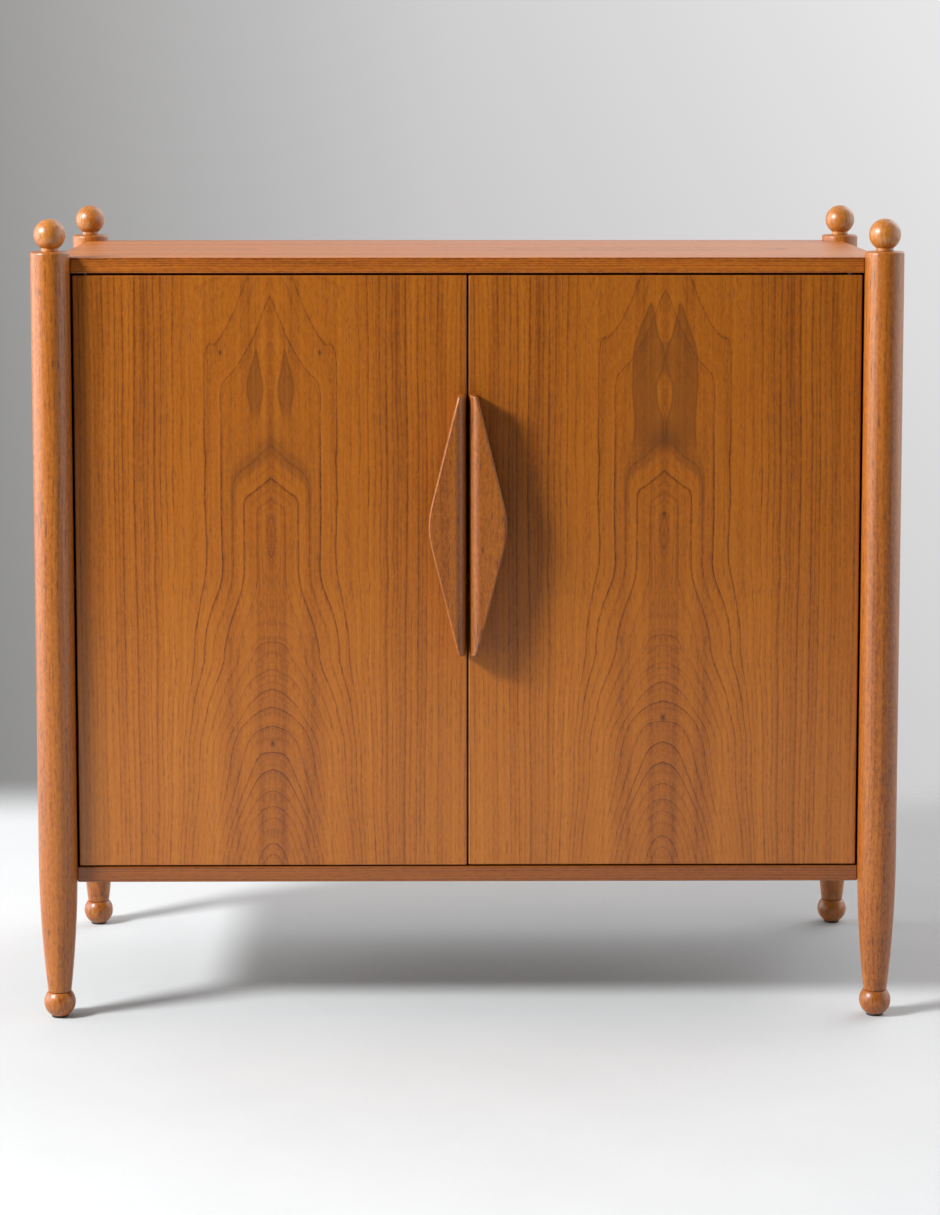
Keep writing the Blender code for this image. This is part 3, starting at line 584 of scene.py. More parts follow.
def door_material(name, seam, lift, knots, mark):
    """Book-matched veneer with nested arches, mirrored about a seam up the middle of the door."""
    material, graph, shader = new_material(name)
    x, y, z = graph.coordinates()
    side = graph.math("SIGN", x - seam)
    away = graph.math("ABSOLUTE", x - seam)
    sway = graph.wave(away, z, DOOR_SWAY)
    height = z - lift + graph.wave(away, z, DOOR_SWELL)
    smooth_rings = arch_rings(graph, away, height, sway)
    aside = arch_rings(graph, away + SLOPE_STEP, height, sway) - smooth_rings
    upward = arch_rings(graph, away, height + SLOPE_STEP, sway) - smooth_rings
    slope = graph.math("SQRT", aside * aside + upward * upward) * (1.0 / SLOPE_STEP)
    slope = graph.math("MAXIMUM", slope, LEAST_SLOPE)
    ripple = NEAR_RIPPLE + ADDED_RIPPLE * graph.smooth(away, *RIPPLE_REACH)
    rings = smooth_rings + graph.wave(away, z, DOOR_RIPPLE) * ripple
    knot_dark = 0.0
    for knot_away, knot_height, knot_radius in knots:
        across = away - knot_away
        above = z - knot_height
        distance = graph.math("SQRT", across * across + above * above * KNOT_STRETCH)
        rings = rings + graph.bell(distance, knot_radius * KNOT_REACH) * KNOT_BULGE
        knot_dark = knot_dark + graph.bell(distance, knot_radius)

    ring_dark = graph.bell(rings - DARK_RING, DARK_RING_BREADTH) * graph.smooth(away, *DARK_RING_REACH)
    ring_dark = ring_dark * graph.window(z, DARK_RING_RISE, DARK_RING_FALL)
    marked = leaf_mark(graph, away + graph.wave(x, z, MARK_WAVE), z, *mark)
    # Painted light low on the door and painted shade high up, blended by height
    tone = graph.mix(graph.smooth(z, *PAINTED_LIGHT_HEIGHTS), PAINTED_LOW_LIGHT, PAINTED_HIGH_SHADE)
    tone = tone - side * graph.smooth(z, *LEAF_FADE) * LEAF_TONE - graph.bell(away, SEAM_BREADTH) * SEAM_TONE
    arches = graph.window(z, ARCHES_RISE, ARCHES_FALL) * graph.smooth(away, *ARCHES_REACH)
    contrast = graph.mix(arches, PLAIN_CONTRAST, ARCH_CONTRAST)
    colour = finish_wood(graph, shader, rings, slope, (away, y, z), DOOR_SHADE, contrast, tone)
    colour = graph.tint(ring_dark * DARK_RING_SHARE + marked * MARK_SHARE, colour, MARK_COLOUR)
    colour = graph.tint(knot_dark * KNOT_SHARE, colour, KNOT_COLOUR)
    graph.feed(shader.inputs["Base Color"], colour)
    add_lacquer(shader, LACQUER_COAT, VENEER_COAT_ROUGHNESS)
    return material


# Rings per metre across a panel's face, through its edges and along its grain
PANEL_RINGS = 120.0
EDGE_RINGS = 330.0
RISE_RINGS = 32.0
# Waves in a panel's figure: scales across and along the grain, seed and size
PANEL_SWAY = (11.0, 3.0, 2.0, 0.050)
PANEL_RIPPLE = (50.0, 14.0, 7.0, 0.7)
PANEL_RISE = (0.0, 2.2, 4.0, 16.0)
EDGE_STRAY = (8.0, 4.0, 1.0, 2.2)
PANEL_CONTRAST = 0.9
# Where the first leaf starts, how blunt its arches are, and the tilt that tells a face from an edge
LEAF_START = 0.013
LEAF_BLUNTNESS = 0.0003
FACE_TILT = (0.6, 0.8)
UNDERSIDE_TILT = (-0.6, -0.8)
UNDERSIDE_SHARE = 0.8


def panel_material(name, grain, side, through, leaf, shade, coat=LACQUER_COAT, bare_below=False):
    """Veneer of plain-cut leaves, book-matched side by side, with straight-grained edges.

    A panel that is bare below has a dull sealed underside.
    """
    material, graph, shader = new_material(name)
    axes = dict(zip("xyz", graph.coordinates()))
    normals = dict(zip("xyz", graph.coordinates("Normal")))
    along = axes[grain]
    away = graph.math("PINGPONG", axes[side] + LEAF_START, leaf)
    thick = axes[through]
    on_face = graph.smooth(graph.math("ABSOLUTE", normals[through]), *FACE_TILT)
    spread = graph.math("SQRT", away * away + LEAF_BLUNTNESS)
    lean = graph.math("DIVIDE", away, spread) * PANEL_RINGS
    slope = graph.mix(on_face, EDGE_RINGS, graph.math("SQRT", lean * lean + RISE_RINGS ** 2))
    rise = graph.stray(away, along, PANEL_RISE) + graph.wave(away, along, PANEL_RIPPLE)
    face_rings = (spread + graph.wave(away, along, PANEL_SWAY)) * PANEL_RINGS + rise
    edge_rings = thick * EDGE_RINGS + graph.stray(away, along, EDGE_STRAY)
    rings = graph.mix(on_face, edge_rings, face_rings)
    colour = finish_wood(graph, shader, rings, slope, (away, thick, along), shade, PANEL_CONTRAST)
    if bare_below:
        below = graph.smooth(normals[through], *UNDERSIDE_TILT)
        colour = graph.tint(below * UNDERSIDE_SHARE, colour, UNDERSIDE_COLOUR)
    graph.feed(shader.inputs["Base Color"], colour)
    add_lacquer(shader, coat, VENEER_COAT_ROUGHNESS)
    return material


# Rings per metre of solid wood, the distance to its pith across both ways, and how far the rings lean
SOLID_RINGS = 190.0
SOLID_PITH = (0.31, 0.17)
PULL_PITH = (0.23, 0.13)
LEAN_SIZE = 0.030
LEAN_ACROSS = 5.0
LEAN_ALONG = 2.6
LEAN_SEEDS = (0.0, 7.0)


def solid_material(name, shade, contrast, speckle, coat, grain="z", pith=SOLID_PITH):
    """Solid wood with curved rings about a far-off pith, the same right through a turned or shaped piece."""
    material, graph, shader = new_material(name)
    axes = dict(zip("xyz", graph.coordinates()))
    along = axes[grain]
    first, second = [axes[key] for key in "xyz" if key != grain]
    legs = []
    for axis, seed, distance in zip((first, second), LEAN_SEEDS, pith):
        lean = graph.noise(first * LEAN_ACROSS + seed, second * LEAN_ACROSS, along * LEAN_ALONG)
        legs.append(graph.math("PINGPONG", axis + (lean - 0.5) * LEAN_SIZE, distance))
    one, two = legs
    rings = graph.math("SQRT", one * one + two * two) * SOLID_RINGS
    place = (first, second, along)
    colour = finish_wood(graph, shader, rings, SOLID_RINGS, place, shade, contrast, speckle=speckle)
    graph.feed(shader.inputs["Base Color"], colour)
    add_lacquer(shader, coat, SOLID_COAT_ROUGHNESS)
    return material


# Metal: scales of the brush lines along and across them, and of the tarnish
BRUSH_ALONG = 300.0
BRUSH_ACROSS = 6500.0
TARNISH_SCALE = 90.0
TARNISH_TONE = 0.72
TARNISH_SHARE = 0.5
TARNISH_ROUGHNESS = 0.12
BRUSH_BUMP = (0.12, 0.0001)


def metal_material(name, colour, roughness, brushed):
    """Metal brushed along X, with fine scratches and slight tarnish."""
    material, graph, shader = new_material(name)
    x, y, z = graph.coordinates()
    brush = graph.noise(x * BRUSH_ALONG, y * BRUSH_ACROSS, z * BRUSH_ACROSS, 2.0, 0.6)
    cloud = graph.noise(x * TARNISH_SCALE, y * TARNISH_SCALE, z * TARNISH_SCALE, 3.0, 0.55)
    dull = tuple(channel * TARNISH_TONE for channel in colour)
    tarnished = graph.tint(cloud * TARNISH_SHARE, (*colour, 1.0), (*dull, 1.0))
    graph.feed(shader.inputs["Base Color"], tarnished)
    uneven = (brush - 0.5) * brushed + (cloud - 0.5) * TARNISH_ROUGHNESS
    graph.feed(shader.inputs["Roughness"], roughness + uneven)
    graph.feed(shader.inputs["Normal"], graph.bump(brush, *BRUSH_BUMP))
    shader.inputs["Metallic"].default_value = 1.0
    return material


# Plastic: scales of the moulded texture and of the wear
TEXTURE_SCALE = 1800.0
WEAR_SCALE = 140.0
WEAR_STEP = (0.5, 0.8)
WEAR_GAIN = 2.2
WEAR_PALENESS = 0.01
PLASTIC_ROUGHNESS = 0.42
WEAR_ROUGHNESS = 0.22
TEXTURE_BUMP = (0.25, 0.0002)


def plastic_material(name, colour):
    """Moulded plastic with a fine texture and worn, paler patches."""
    material, graph, shader = new_material(name)
    x, y, z = graph.coordinates()
    grain = graph.noise(x * TEXTURE_SCALE, y * TEXTURE_SCALE, z * TEXTURE_SCALE)
    wear = graph.noise(x * WEAR_SCALE, y * WEAR_SCALE, z * WEAR_SCALE, 3.0, 0.6)
    pale = tuple(channel * WEAR_GAIN + WEAR_PALENESS for channel in colour)
    worn = graph.tint(graph.smooth(wear, *WEAR_STEP), (*colour, 1.0), (*pale, 1.0))
    graph.feed(shader.inputs["Base Color"], worn)
    graph.feed(shader.inputs["Roughness"], PLASTIC_ROUGHNESS + wear * WEAR_ROUGHNESS)
    graph.feed(shader.inputs["Normal"], graph.bump(grain, *TEXTURE_BUMP))
    return material


# Knots of each door: distance from the seam, height and radius
LEFT_KNOTS = ((0.0570, 0.7800, 0.0016), (0.0, 0.3240, 0.0026))
RIGHT_KNOTS = ((0.0, 0.3540, 0.0030), (0.0, 0.5930, 0.0018))
# Inner and outer edge of each door's dark mark, as pairs of height and distance from the seam
LEFT_MARK = (
    ((0.690, 0.0150), (0.715, 0.0120), (0.738, 0.0090), (0.760, 0.0125), (0.785, 0.0170)),
    ((0.690, 0.0200), (0.715, 0.0225), (0.738, 0.0260), (0.760, 0.0220), (0.785, 0.0170)),
)
RIGHT_MARK = (
    ((0.655, 0.0000), (0.695, 0.0020), (0.735, 0.0095), (0.769, 0.0010), (0.800, 0.0080), (0.838, 0.0165)),
    ((0.655, 0.0420), (0.695, 0.0345), (0.735, 0.0365), (0.769, 0.0370), (0.803, 0.0290), (0.838, 0.0165)),
)
# How far the right door's figure sits above the left one's
RIGHT_LIFT = 0.008
BRASS_COLOUR = (0.66, 0.45, 0.17)
STEEL_COLOUR = (0.58, 0.58, 0.60)
DARK_STEEL_COLOUR = (0.075, 0.068, 0.062)
PLASTIC_COLOUR = (0.016, 0.016, 0.017)
# Veneer has its axes and leaf breadth, solid wood contrast, speckle and coat, metal roughness and brushing
MATERIALS = {
    "door_left": door_material("door_left_veneer", -DOOR_MIDDLE, 0.0, LEFT_KNOTS, LEFT_MARK),
    "door_right": door_material("door_right_veneer", DOOR_MIDDLE, RIGHT_LIFT, RIGHT_KNOTS, RIGHT_MARK),
    "top": panel_material("top_veneer", "x", "y", "z", 0.21, TOP_SHADE, coat=0.12),
    # The bottom panel has painted shade
    "bottom": panel_material("bottom_veneer", "x", "y", "z", 0.21, BOTTOM_PAINTED_SHADE, bare_below=True),
    # The shelf is painted lighter, as painted light in the dim inside
    "shelf": panel_material("shelf_veneer", "x", "y", "z", 0.17, INNER_PAINTED_LIGHT_SHADE),
    # The side panels and divider have painted shade
    "side": panel_material("side_veneer", "z", "y", "x", 0.20, SIDE_PAINTED_SHADE),
    "back": panel_material("back_veneer", "z", "x", "y", 0.115, BACK_SHADE),
    "turned": solid_material("turned_walnut_lacquered", TURNED_SHADE, 0.45, 2.1, 0.45),
    "finial": solid_material("finial_walnut_lacquered", FINIAL_SHADE, 0.40, 1.6, 0.65),
    "pull": solid_material("pull_walnut_lacquered", PULL_SHADE, 0.20, 2.4, 0.35, pith=PULL_PITH),
    # The rails are painted lighter, as painted light in the dim inside
    "rail": solid_material("rail_walnut_lacquered", INNER_PAINTED_LIGHT_SHADE, 0.70, 1.2, LACQUER_COAT, grain="y"),
    "bottle": solid_material("bottle_rail_walnut", INNER_PAINTED_LIGHT_SHADE, 0.70, 1.2, LACQUER_COAT, grain="x"),
    "brass": metal_material("brushed_brass", BRASS_COLOUR, 0.30, 0.22),
    "steel": metal_material("zinc_steel", STEEL_COLOUR, 0.28, 0.20),
    "dark_steel": metal_material("burnished_steel", DARK_STEEL_COLOUR, 0.40, 0.20),
    "plastic": plastic_material("moulded_black_plastic", PLASTIC_COLOUR),
}


def dress(piece, material):
    """Give a piece one material."""
    piece.data.materials.clear()
    piece.data.materials.append(MATERIALS[material])


def add_piece(name, mesh, material, body, node, crease=TURNED_CREASE):
    """Add a piece, smooth between its creases, that rides on a body and replaces a CAD node."""
    mesh.shade_smooth()
    mesh.set_sharp_from_angle(angle=math.radians(crease))
    piece = bpy.data.objects.new(name, mesh)
    bpy.context.scene.collection.objects.link(piece)
    dress(piece, material)
    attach(piece, body)
    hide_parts(node)


def arc(centre, radius, start, end, count):
    """Points on a circle from one angle to another, in radians, both ends included."""
    points = []
    for index in range(count + 1):
        angle = start + (end - start) * index / count
        points.append((centre[0] + radius * math.cos(angle), centre[1] + radius * math.sin(angle)))
    return points


def lathe(name, profile, steps, turn):
    """A closed turned mesh from (radius, height) pairs that start and end on the axis."""
    builder = bmesh.new()
    rings = []
    for radius, height in profile:
        if radius == 0.0:
            rings.append([builder.verts.new((0.0, 0.0, height))])
            continue
        ring = []
        for step in range(steps):
            angle = 2.0 * math.pi * step / steps
            ring.append(builder.verts.new((radius * math.cos(angle), radius * math.sin(angle), height)))
        rings.append(ring)
    for upper, lower in zip(rings, rings[1:]):
        for step in range(steps):
            after = (step + 1) % steps
            around = [upper[step % len(upper)], upper[after % len(upper)]]
            around += [lower[after % len(lower)], lower[step % len(lower)]]
            builder.faces.new(list(dict.fromkeys(around)))
    bmesh.ops.recalc_face_normals(builder, faces=builder.faces)
    builder.transform(turn)
    return plain_mesh(name, builder)


def plain_mesh(name, builder):
    """Turn a bmesh into a mesh."""
    mesh = bpy.data.meshes.new(name)
    builder.to_mesh(mesh)
    builder.free()
    return mesh


def box_mesh(name, low, high):
    """A plain box between two corners, used as a cutter."""
    low = Vector(low)
    high = Vector(high)
    builder = bmesh.new()
    place = Matrix.Translation((low + high) / 2) @ Matrix.Diagonal((*(high - low), 1.0))
    bmesh.ops.create_cube(builder, size=1.0, matrix=place)
    return plain_mesh(name, builder)


def cut_mesh(name, mesh, cutter_mesh):
    """The mesh with the cutter's space taken out of it."""
    body = bpy.data.objects.new(name, mesh)
    cutter = bpy.data.objects.new(name + "_cutter", cutter_mesh)
    for item in (body, cutter):
        bpy.context.scene.collection.objects.link(item)
    boolean = body.modifiers.new("cut", "BOOLEAN")
    boolean.operation = "DIFFERENCE"
    boolean.solver = "EXACT"
    boolean.object = cutter
    depsgraph = bpy.context.evaluated_depsgraph_get()
    made = bpy.data.meshes.new_from_object(body.evaluated_get(depsgraph))
    made.name = name
    bpy.data.objects.remove(body, do_unlink=True)
    bpy.data.objects.remove(cutter, do_unlink=True)
    return made


def add_bevel(piece, width):
    """Round a piece's sharp edges."""
    weld = piece.modifiers.new("weld", "WELD")
    weld.merge_threshold = NODE_WELD
    flat = piece.modifiers.new("flat", "DECIMATE")
    flat.decimate_type = "DISSOLVE"
    flat.angle_limit = math.radians(FLAT_ANGLE)
    bevel = piece.modifiers.new("rounding", "BEVEL")
    bevel.width = width
    bevel.segments = BEVEL_SEGMENTS
    bevel.limit_method = "ANGLE"
    bevel.angle_limit = math.radians(BEVEL_CREASE)
    bevel.use_clamp_overlap = False


def corners():
    """Name and plan position of the four corners, at the middles of the posts."""
    places = []
    for end in ENDS:
        for side in SIDES:
            corner = end + "_" + side
            low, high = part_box("post_" + corner)
            middle = (low + high) / 2
            places.append((corner, middle.x, middle.y))
    return places


def leg_radius(height):
    """Radius of the tapered leg, a parabola that starts flush with the straight post."""
    share = (LEG_TAPER_START - height) / (LEG_TAPER_START - LEG_END)
    return POST_RADIUS - (POST_RADIUS - LEG_END_RADIUS) * share ** 2


def post_profile():
    """Radius and height down a post: rounded rim, straight shaft, tapered leg and rounded tip."""
    rim = (POST_RADIUS - POST_RIM_ROUND, POST_TOP - POST_RIM_ROUND)
    profile = [(0.0, POST_TOP)] + arc(rim, POST_RIM_ROUND, math.pi / 2, 0.0, RIM_POINTS)
    profile.append((POST_RADIUS, POST_TOP - RIM_RUN))
    profile.append((POST_RADIUS, LEG_TAPER_START + TAPER_RUN))
    for index in range(TAPER_POINTS):
        height = LEG_TAPER_START + (LEG_END - LEG_TAPER_START) * index / TAPER_POINTS
        profile.append((leg_radius(height), height))
    tip = (LEG_END_RADIUS - SEAM_ROUND, LEG_END + SEAM_ROUND)
    profile += arc(tip, SEAM_ROUND, 0.0, -math.pi / 2, SEAM_POINTS)
    profile.append((0.0, LEG_END))
    return profile


def make_posts():
    """Turned posts, each with the housing that takes the edge of a side panel."""
    profile = post_profile()
    floor = POST_RADIUS - HOUSING_DEPTH - GAP
    for corner, x, y in corners():
        name = "turned_post_" + corner
        inward_x = -math.copysign(1.0, x)
        inward_y = -math.copysign(1.0, y)
        turn = Matrix.Translation((x, y, 0.0))
        xs = sorted((x - GAP * inward_x, x + (PANEL_THICKNESS + GAP) * inward_x))
        ys = sorted((y + floor * inward_y, y + (POST_RADIUS + CUT_MARGIN) * inward_y))
        cutter = box_mesh(name + "_housing", (xs[0], ys[0], BOTTOM_UPPER), (xs[1], ys[1], TOP_UNDERSIDE))
        mesh = cut_mesh(name, lathe(name, profile, POST_STEPS, turn), cutter)
        add_piece(name, mesh, "turned", "case", "post_" + corner)


def finial_profile():
    """Radius and height down a ball finial with its neck."""
    neck_angle = -math.acos(FINIAL_NECK_RADIUS / FINIAL_RADIUS)
    profile = arc((0.0, FINIAL_CENTRE), FINIAL_RADIUS, math.pi / 2, neck_angle, FINIAL_POINTS)
    profile[0] = (0.0, FINIAL_CENTRE + FINIAL_RADIUS)
    profile += [(FINIAL_NECK_RADIUS, FINIAL_SHOULDER), (0.0, FINIAL_SHOULDER)]
    return profile


def foot_profile():
    """Radius and height down a ball foot, with a small groove under the leg."""
    top_angle = math.acos((LEG_END_RADIUS + SEAM_ROUND) / FOOT_RADIUS)
    flat_angle = -math.acos(GLIDE_RADIUS / FOOT_RADIUS)
    profile = [(0.0, FOOT_TOP), (LEG_END_RADIUS - SEAM_ROUND, FOOT_TOP)]
    profile.append((LEG_END_RADIUS, FOOT_TOP - GROOVE_DROP))
    profile += arc((0.0, FOOT_CENTRE), FOOT_RADIUS, top_angle, flat_angle, FOOT_POINTS)
    profile.append((0.0, FOOT_FLAT))
    return profile


def glide_profile():
    """Radius and height down a floor glide with rounded edges."""
    inner = GLIDE_RADIUS - GLIDE_EDGE
    profile = [(0.0, GLIDE_THICKNESS)]
    profile += arc((inner, GLIDE_THICKNESS - GLIDE_EDGE), GLIDE_EDGE, math.pi / 2, 0.0, GLIDE_POINTS)
    profile += arc((inner, GLIDE_EDGE), GLIDE_EDGE, 0.0, -math.pi / 2, GLIDE_POINTS)
    profile.append((0.0, 0.0))
    return profile


def make_balls():
    """Ball finials on the posts, ball feet under the legs and glides under the feet."""
    kinds = (
        ("ball_finial_", "finial_", finial_profile(), BALL_STEPS, "finial", "turned_walnut"),
        ("ball_foot_", "foot_", foot_profile(), BALL_STEPS, "turned", "turned_walnut"),
        ("floor_glide_", "glide_", glide_profile(), GLIDE_STEPS, "plastic", "black_plastic"),
    )
    for corner, x, y in corners():
        turn = Matrix.Translation((x, y, 0.0))
        for piece, node, profile, steps, material, slot in kinds:
            mesh = lathe(piece + corner, profile, steps, turn)
            add_piece(piece + corner, mesh, material, "case", node + corner)


def fillet(before, corner, after, radius, count):
    """Points that round off the corner between two neighbouring points of an outline."""
    corner = Vector(corner)
    to_before = (Vector(before) - corner).normalized()
    to_after = (Vector(after) - corner).normalized()
    half_angle = to_before.angle(to_after) / 2
    middle = corner + (to_before + to_after).normalized() * (radius / math.sin(half_angle))
    start = corner + to_before * (radius / math.tan(half_angle)) - middle
    end = corner + to_after * (radius / math.tan(half_angle)) - middle
    points = []
    for index in range(count + 1):
        share = index / count
        points.append(tuple(middle + (start * (1.0 - share) + end * share).normalized() * radius))
    return points


def between(first, last, count):
    """Points that split the line between two points into equal parts, ends left out."""
    points = []
    for index in range(1, count):
        share = index / count
        points.append(tuple(a + (b - a) * share for a, b in zip(first, last)))
    return points


def pull_stations():
    """Width and height of a pull's half-diamond front, from its middle to one end."""
    half = PULL_LENGTH / 2
    centre = PULL_MIDDLE_WIDTH - PULL_APEX_RADIUS
    to_end = PULL_END_WIDTH - centre
    slope = math.atan2(half, to_end) - math.acos(PULL_APEX_RADIUS / math.hypot(half, to_end))
    apex = arc((centre, 0.0), PULL_APEX_RADIUS, 0.0, slope, APEX_POINTS)
    corner = fillet(apex[-1], (PULL_END_WIDTH, half), (0.0, half), PULL_CORNER_ROUND, CORNER_POINTS)
    return apex + between(apex[-1], corner[0], FLANK_POINTS) + corner


def pull_section(width, height):
    """Cross-section of a pull: seat, round inner edge, flat front, rounded arris, and a sloped back."""
    past_end = max(0.0, height - PULL_LENGTH / 2 + PULL_ARRIS)
    inset = PULL_ARRIS - math.sqrt(max(0.0, PULL_ARRIS ** 2 - past_end ** 2))
    centre = (PULL_INNER_ROUND, PULL_PROJECTION - PULL_INNER_ROUND)
    radius = PULL_INNER_ROUND - inset
    arris = min(PULL_ARRIS, ARRIS_SHARE * (width - inset))
    spot = width - arris
    reach = radius - arris
    turn = math.pi / 2
    if spot < centre[0]:
        turn = math.acos((spot - centre[0]) / reach)
    depth = centre[1] + reach * math.sin(turn)
    inner = arc(centre, radius, math.pi, turn, INNER_POINTS)
    rounded = arc((spot, depth), arris, turn, 0.0, ARRIS_POINTS)
    slant = (PULL_PROJECTION - PULL_LIP - GAP) / (PULL_MIDDLE_WIDTH - PULL_SEAT_WIDTH)
    back = GAP + max(0.0, width - PULL_SEAT_WIDTH) * slant
    points = [(inset, GAP)] + inner + between(inner[-1], rounded[0], FRONT_POINTS) + rounded
    return points + [(width, back), (min(width, PULL_SEAT_WIDTH), GAP)]


def make_pulls():
    """Shaped pulls, each skinned over its cross-sections from end to end."""
    stations = pull_stations()
    heights = [(width, height, -1) for width, height in reversed(stations[1:])]
    heights += [(width, height, 1) for width, height in stations]
    for side, side_sign in SIDES.items():
        name = "shaped_pull_" + side
        builder = bmesh.new()
        sections = []
        for width, height, end_sign in heights:
            section = []
            for x, depth in pull_section(width, height):
                place = (side_sign * (PULL_EDGE + x), DOOR_FACE - depth, PULL_CENTRE + end_sign * height)
                section.append(builder.verts.new(place))
            sections.append(section)
        for lower, upper in zip(sections, sections[1:]):
            for index in range(len(lower)):
                after = (index + 1) % len(lower)
                builder.faces.new((lower[index], lower[after], upper[after], upper[index]))
        builder.faces.new(sections[0])
        builder.faces.new(sections[-1])
        bmesh.ops.remove_doubles(builder, verts=builder.verts, dist=PULL_WELD)
        bmesh.ops.recalc_face_normals(builder, faces=builder.faces)
        mesh = plain_mesh(name, builder)
        add_piece(name, mesh, "pull", side + "_door", "pull_" + side, PULL_CREASE)


# Material and edge rounding of the CAD nodes that stay, by the start of their names
LOOKS = {
    "top_panel": ("top", 0.0015),
    "bottom_panel": ("bottom", 0.0010),
    "side_panel_": ("side", 0.0008),
    "back_panel": ("back", 0.0),
    "fixed_shelf": ("shelf", 0.0010),
    "loose_shelf": ("shelf", 0.0010),
    "lower_divider": ("side", 0.0010),
    "door_left": ("door_left", 0.0014),
    "door_right": ("door_right", 0.0014),
    "bottle_rail_": ("bottle", 0.0015),
    "stemware_rail_": ("rail", 0.0015),
    "catch_": ("plastic", 0.0010),
    "strike_": ("steel", 0.0003),
    "shelf_pin_": ("steel", 0.0),
    "hinge_case_plate_": ("brass", 0.0003),
    "hinge_door_plate_": ("brass", 0.0003),
    "hinge_pin_": ("dark_steel", 0.0),
    "pull_screw_": ("steel", 0.0004),
}


def dress_nodes():
    """Give each CAD node that stays its material, and round its edges."""
    for name, piece in NODES.items():
        for start, (material, rounding) in LOOKS.items():
            if name.startswith(start):
                dress(piece, material)
                if rounding > 0.0:
                    add_bevel(piece, rounding)


# Floor: radius, tone and roughness, and the strips and rings over which it fades out
FLOOR_RADIUS = 3.5
FLOOR_STEPS = 128
FLOOR_MIDDLE = 0.4
FLOOR_TONE = 0.585
FLOOR_TINT = (1.0, 1.03, 1.045)
FLOOR_ROUGHNESS = 0.75
MOTTLE_SCALE = 7.0
MOTTLE_TONE = 0.05
FLOOR_GRAIN_SCALE = 160.0
FLOOR_GRAIN_TONE = 0.03
FLOOR_BUMP = (0.10, 0.001)
SEEN_FRONT = (-2.9, -2.25)
SEEN_RADIUS = (3.4, 2.6)
LIT_FRONT = (-2.1, -1.4)
LIT_RADIUS = (3.0, 1.9)
FLOOR_BACK = (1.06, 0.74)


def make_floor():
    """A pale floor that fades out some way from the cabinet, and sooner for the light that it gives back."""
    builder = bmesh.new()
    bmesh.ops.create_circle(builder, cap_ends=True, segments=FLOOR_STEPS, radius=FLOOR_RADIUS)
    mesh = plain_mesh("floor", builder)
    material, graph, shader = new_material("pale_floor")
    x, y = graph.coordinates()[:2]
    mottle = graph.noise(x * MOTTLE_SCALE, y * MOTTLE_SCALE, 0.0, 5.0, 0.6)
    grain = graph.noise(x * FLOOR_GRAIN_SCALE, y * FLOOR_GRAIN_SCALE, 0.0, 3.0, 0.6)
    tone = FLOOR_TONE + (mottle - 0.5) * MOTTLE_TONE + (grain - 0.5) * FLOOR_GRAIN_TONE
    graph.feed(shader.inputs["Base Color"], graph.combine(*[tone * channel for channel in FLOOR_TINT]))
    graph.feed(shader.inputs["Normal"], graph.bump(grain, *FLOOR_BUMP))
    shader.inputs["Roughness"].default_value = FLOOR_ROUGHNESS
    from_middle = x - FLOOR_MIDDLE
    radius = graph.math("SQRT", from_middle * from_middle + y * y)
    seen = graph.smooth(y, *SEEN_FRONT) * graph.smooth(radius, *SEEN_RADIUS)
    lighting = graph.smooth(y, *LIT_FRONT) * graph.smooth(radius, *LIT_RADIUS)
    camera, mirrored = graph.view_rays()
    viewed = graph.math("MAXIMUM", camera, mirrored)
    graph.feed(shader.inputs["Alpha"], graph.smooth(y, *FLOOR_BACK) * graph.mix(viewed, lighting, seen))
    mesh.materials.append(material)
    floor = bpy.data.objects.new("floor", mesh)
    bpy.context.scene.collection.objects.link(floor)


# Tones of the wall, from far left to far right
WALL_TONES = (
    (0.00, (0.62, 0.62, 0.62)),
    (0.30, (0.50, 0.50, 0.50)),
    (0.42, (0.300, 0.297, 0.290)),
    (0.50, (0.615, 0.605, 0.610)),
    (0.58, (0.80, 0.79, 0.795)),
    (1.00, (0.80, 0.79, 0.795)),
)
# The wall darkens downwards: change with height, where that stops, and its least shade
WALL_FALL = 0.9
WALL_FALL_TOP = 0.1
LEAST_WALL_SHADE = 0.70
# Strength of the room's light from each side
FRONT_LIGHT = 0.04
BACK_LIGHT = 1.05
FRONT_CEILING_LIGHT = 0.20
BACK_CEILING_LIGHT = 0.90
CORNER_LIGHT = 3.0
LEFT_LIGHT = 6.4
RIGHT_LIGHT = 2.4
# Directions over which each light comes in, as parts of a unit vector
LEVEL_DEPTH = (-0.35, 0.45)
CEILING_DEPTH = (-0.60, 0.15)
CEILING_RISE = (0.15, 0.65)
CORNER_SIDE = (0.15, 0.45)
CORNER_DEPTH = (0.05, 0.35)
CORNER_RISE = (0.12, 0.35)
LEFT_SIDE = (-0.70, -0.94)
RIGHT_SIDE = (0.66, 0.94)
# Directions over which the wall comes in, towards the back and above its foot
WALL_DEPTH = (0.78, 0.90)
WALL_FOOT = (-0.262, -0.240)
# Tone of what is seen past the wall, above and below the horizon
PALE_ABOVE = 0.70
PALE_BELOW = 0.86
HORIZON = (0.03, -0.12)


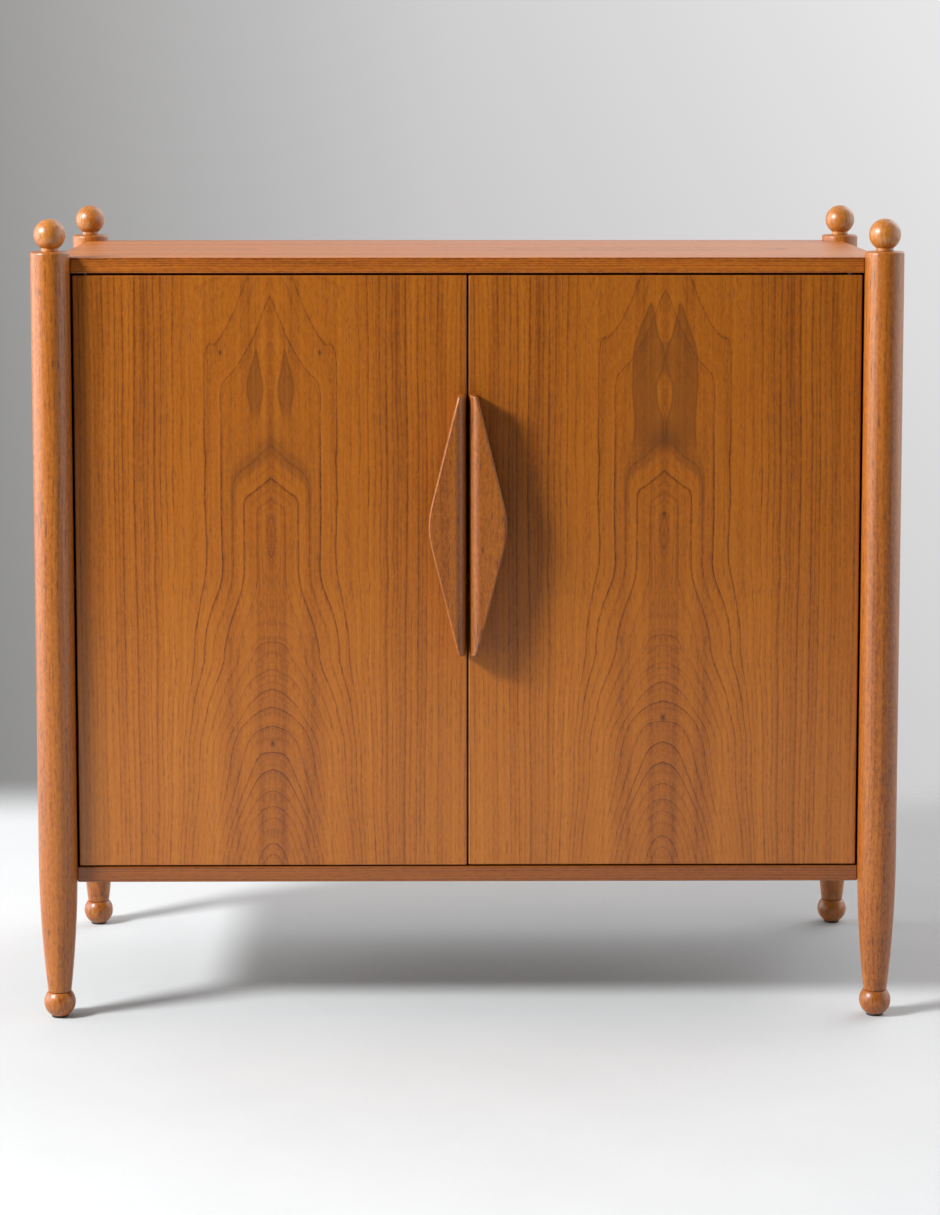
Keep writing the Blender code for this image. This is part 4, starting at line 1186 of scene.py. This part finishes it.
def make_world():
    """A studio: a pale wall behind, a ceiling, bright sides and back right corner, and a dim front.

    The camera sees the wall, and pale ground past it. Mirror and glass rays see the same wall.
    """
    world = bpy.data.worlds.new("studio")
    world.use_nodes = True
    bpy.context.scene.world = world
    graph = Graph(world.node_tree)
    background = world.node_tree.nodes["Background"]
    x, y, z = graph.coordinates("Generated")
    wall = graph.ramp(x * 0.5 + 0.5, WALL_TONES)
    shade = 1.0 + WALL_FALL * graph.math("MINIMUM", z, WALL_FALL_TOP)
    shade = graph.math("MAXIMUM", shade, LEAST_WALL_SHADE)

    level = graph.mix(graph.smooth(y, *LEVEL_DEPTH), FRONT_LIGHT, BACK_LIGHT)
    ceiling = graph.mix(graph.smooth(y, *CEILING_DEPTH), FRONT_CEILING_LIGHT, BACK_CEILING_LIGHT)
    ceiling = graph.smooth(z, *CEILING_RISE) * ceiling
    corner = graph.smooth(x, *CORNER_SIDE) * graph.smooth(y, *CORNER_DEPTH) * graph.smooth(z, *CORNER_RISE)
    flank = graph.smooth(x, *LEFT_SIDE) * LEFT_LIGHT + graph.smooth(x, *RIGHT_SIDE) * RIGHT_LIGHT
    room = graph.math("MAXIMUM", level, graph.math("MAXIMUM", ceiling, flank))
    room = graph.math("MAXIMUM", room, corner * CORNER_LIGHT)

    pale = graph.mix(graph.smooth(z, *HORIZON), PALE_ABOVE, PALE_BELOW)
    towards_wall = graph.smooth(y, *WALL_DEPTH) * graph.smooth(z, *WALL_FOOT)
    seen = graph.tint(towards_wall, graph.combine(pale, pale, pale), wall)
    seen_shade = graph.mix(towards_wall, 1.0, shade)
    camera, mirrored = graph.view_rays()
    viewed = graph.math("MAXIMUM", camera, mirrored * towards_wall)
    graph.feed(background.inputs["Color"], graph.tint(viewed, wall, seen))
    graph.feed(background.inputs["Strength"], graph.mix(viewed, shade * room, seen_shade))


# Key light: size, watts, the point it looks at, the way its light travels, and its distance
KEY_WIDTH = 1.13
KEY_HEIGHT = 0.78
KEY_POWER = 272.0
KEY_AIM = Vector((0.0, -0.2, 0.5))
KEY_TRAVEL = Vector((0.7777, 0.3710, -0.5075))
KEY_DISTANCE = 4.3


def make_key_light():
    """A soft, wide key light, high to the left of the camera."""
    data = bpy.data.lights.new("key", "AREA")
    data.shape = "ELLIPSE"
    data.size = KEY_WIDTH
    data.size_y = KEY_HEIGHT
    data.energy = KEY_POWER
    lamp = bpy.data.objects.new("key", data)
    lamp.location = KEY_AIM - KEY_TRAVEL * KEY_DISTANCE
    lamp.rotation_mode = "QUATERNION"
    lamp.rotation_quaternion = KEY_TRAVEL.to_track_quat("-Z", "Y")
    bpy.context.scene.collection.objects.link(lamp)


# Camera: lens and sensor in millimetres, shift, place, and angles in degrees
LENS = 91.17
SENSOR_WIDTH = 36.0
SHIFT = -0.17
CAMERA_PLACE = (-0.0253, -3.7168, 1.0815)
CAMERA_TILT = 5.803
CAMERA_TURN = -0.454
CLIP_END = 50.0


def make_camera():
    """The photograph's camera: a long lens above the top, tilted down, with a little shift."""
    data = bpy.data.cameras.new("camera")
    data.lens = LENS
    data.sensor_width = SENSOR_WIDTH
    data.shift_y = SHIFT
    data.clip_end = CLIP_END
    camera = bpy.data.objects.new("camera", data)
    camera.location = CAMERA_PLACE
    camera.rotation_euler = (math.radians(90.0 - CAMERA_TILT), 0.0, math.radians(CAMERA_TURN))
    bpy.context.scene.collection.objects.link(camera)
    bpy.context.scene.camera = camera


make_posts()
make_balls()
make_pulls()
dress_nodes()
make_floor()
make_world()
make_key_light()
make_camera()
bpy.context.scene.view_settings.view_transform = "Standard"

bpy.context.view_layer.update()
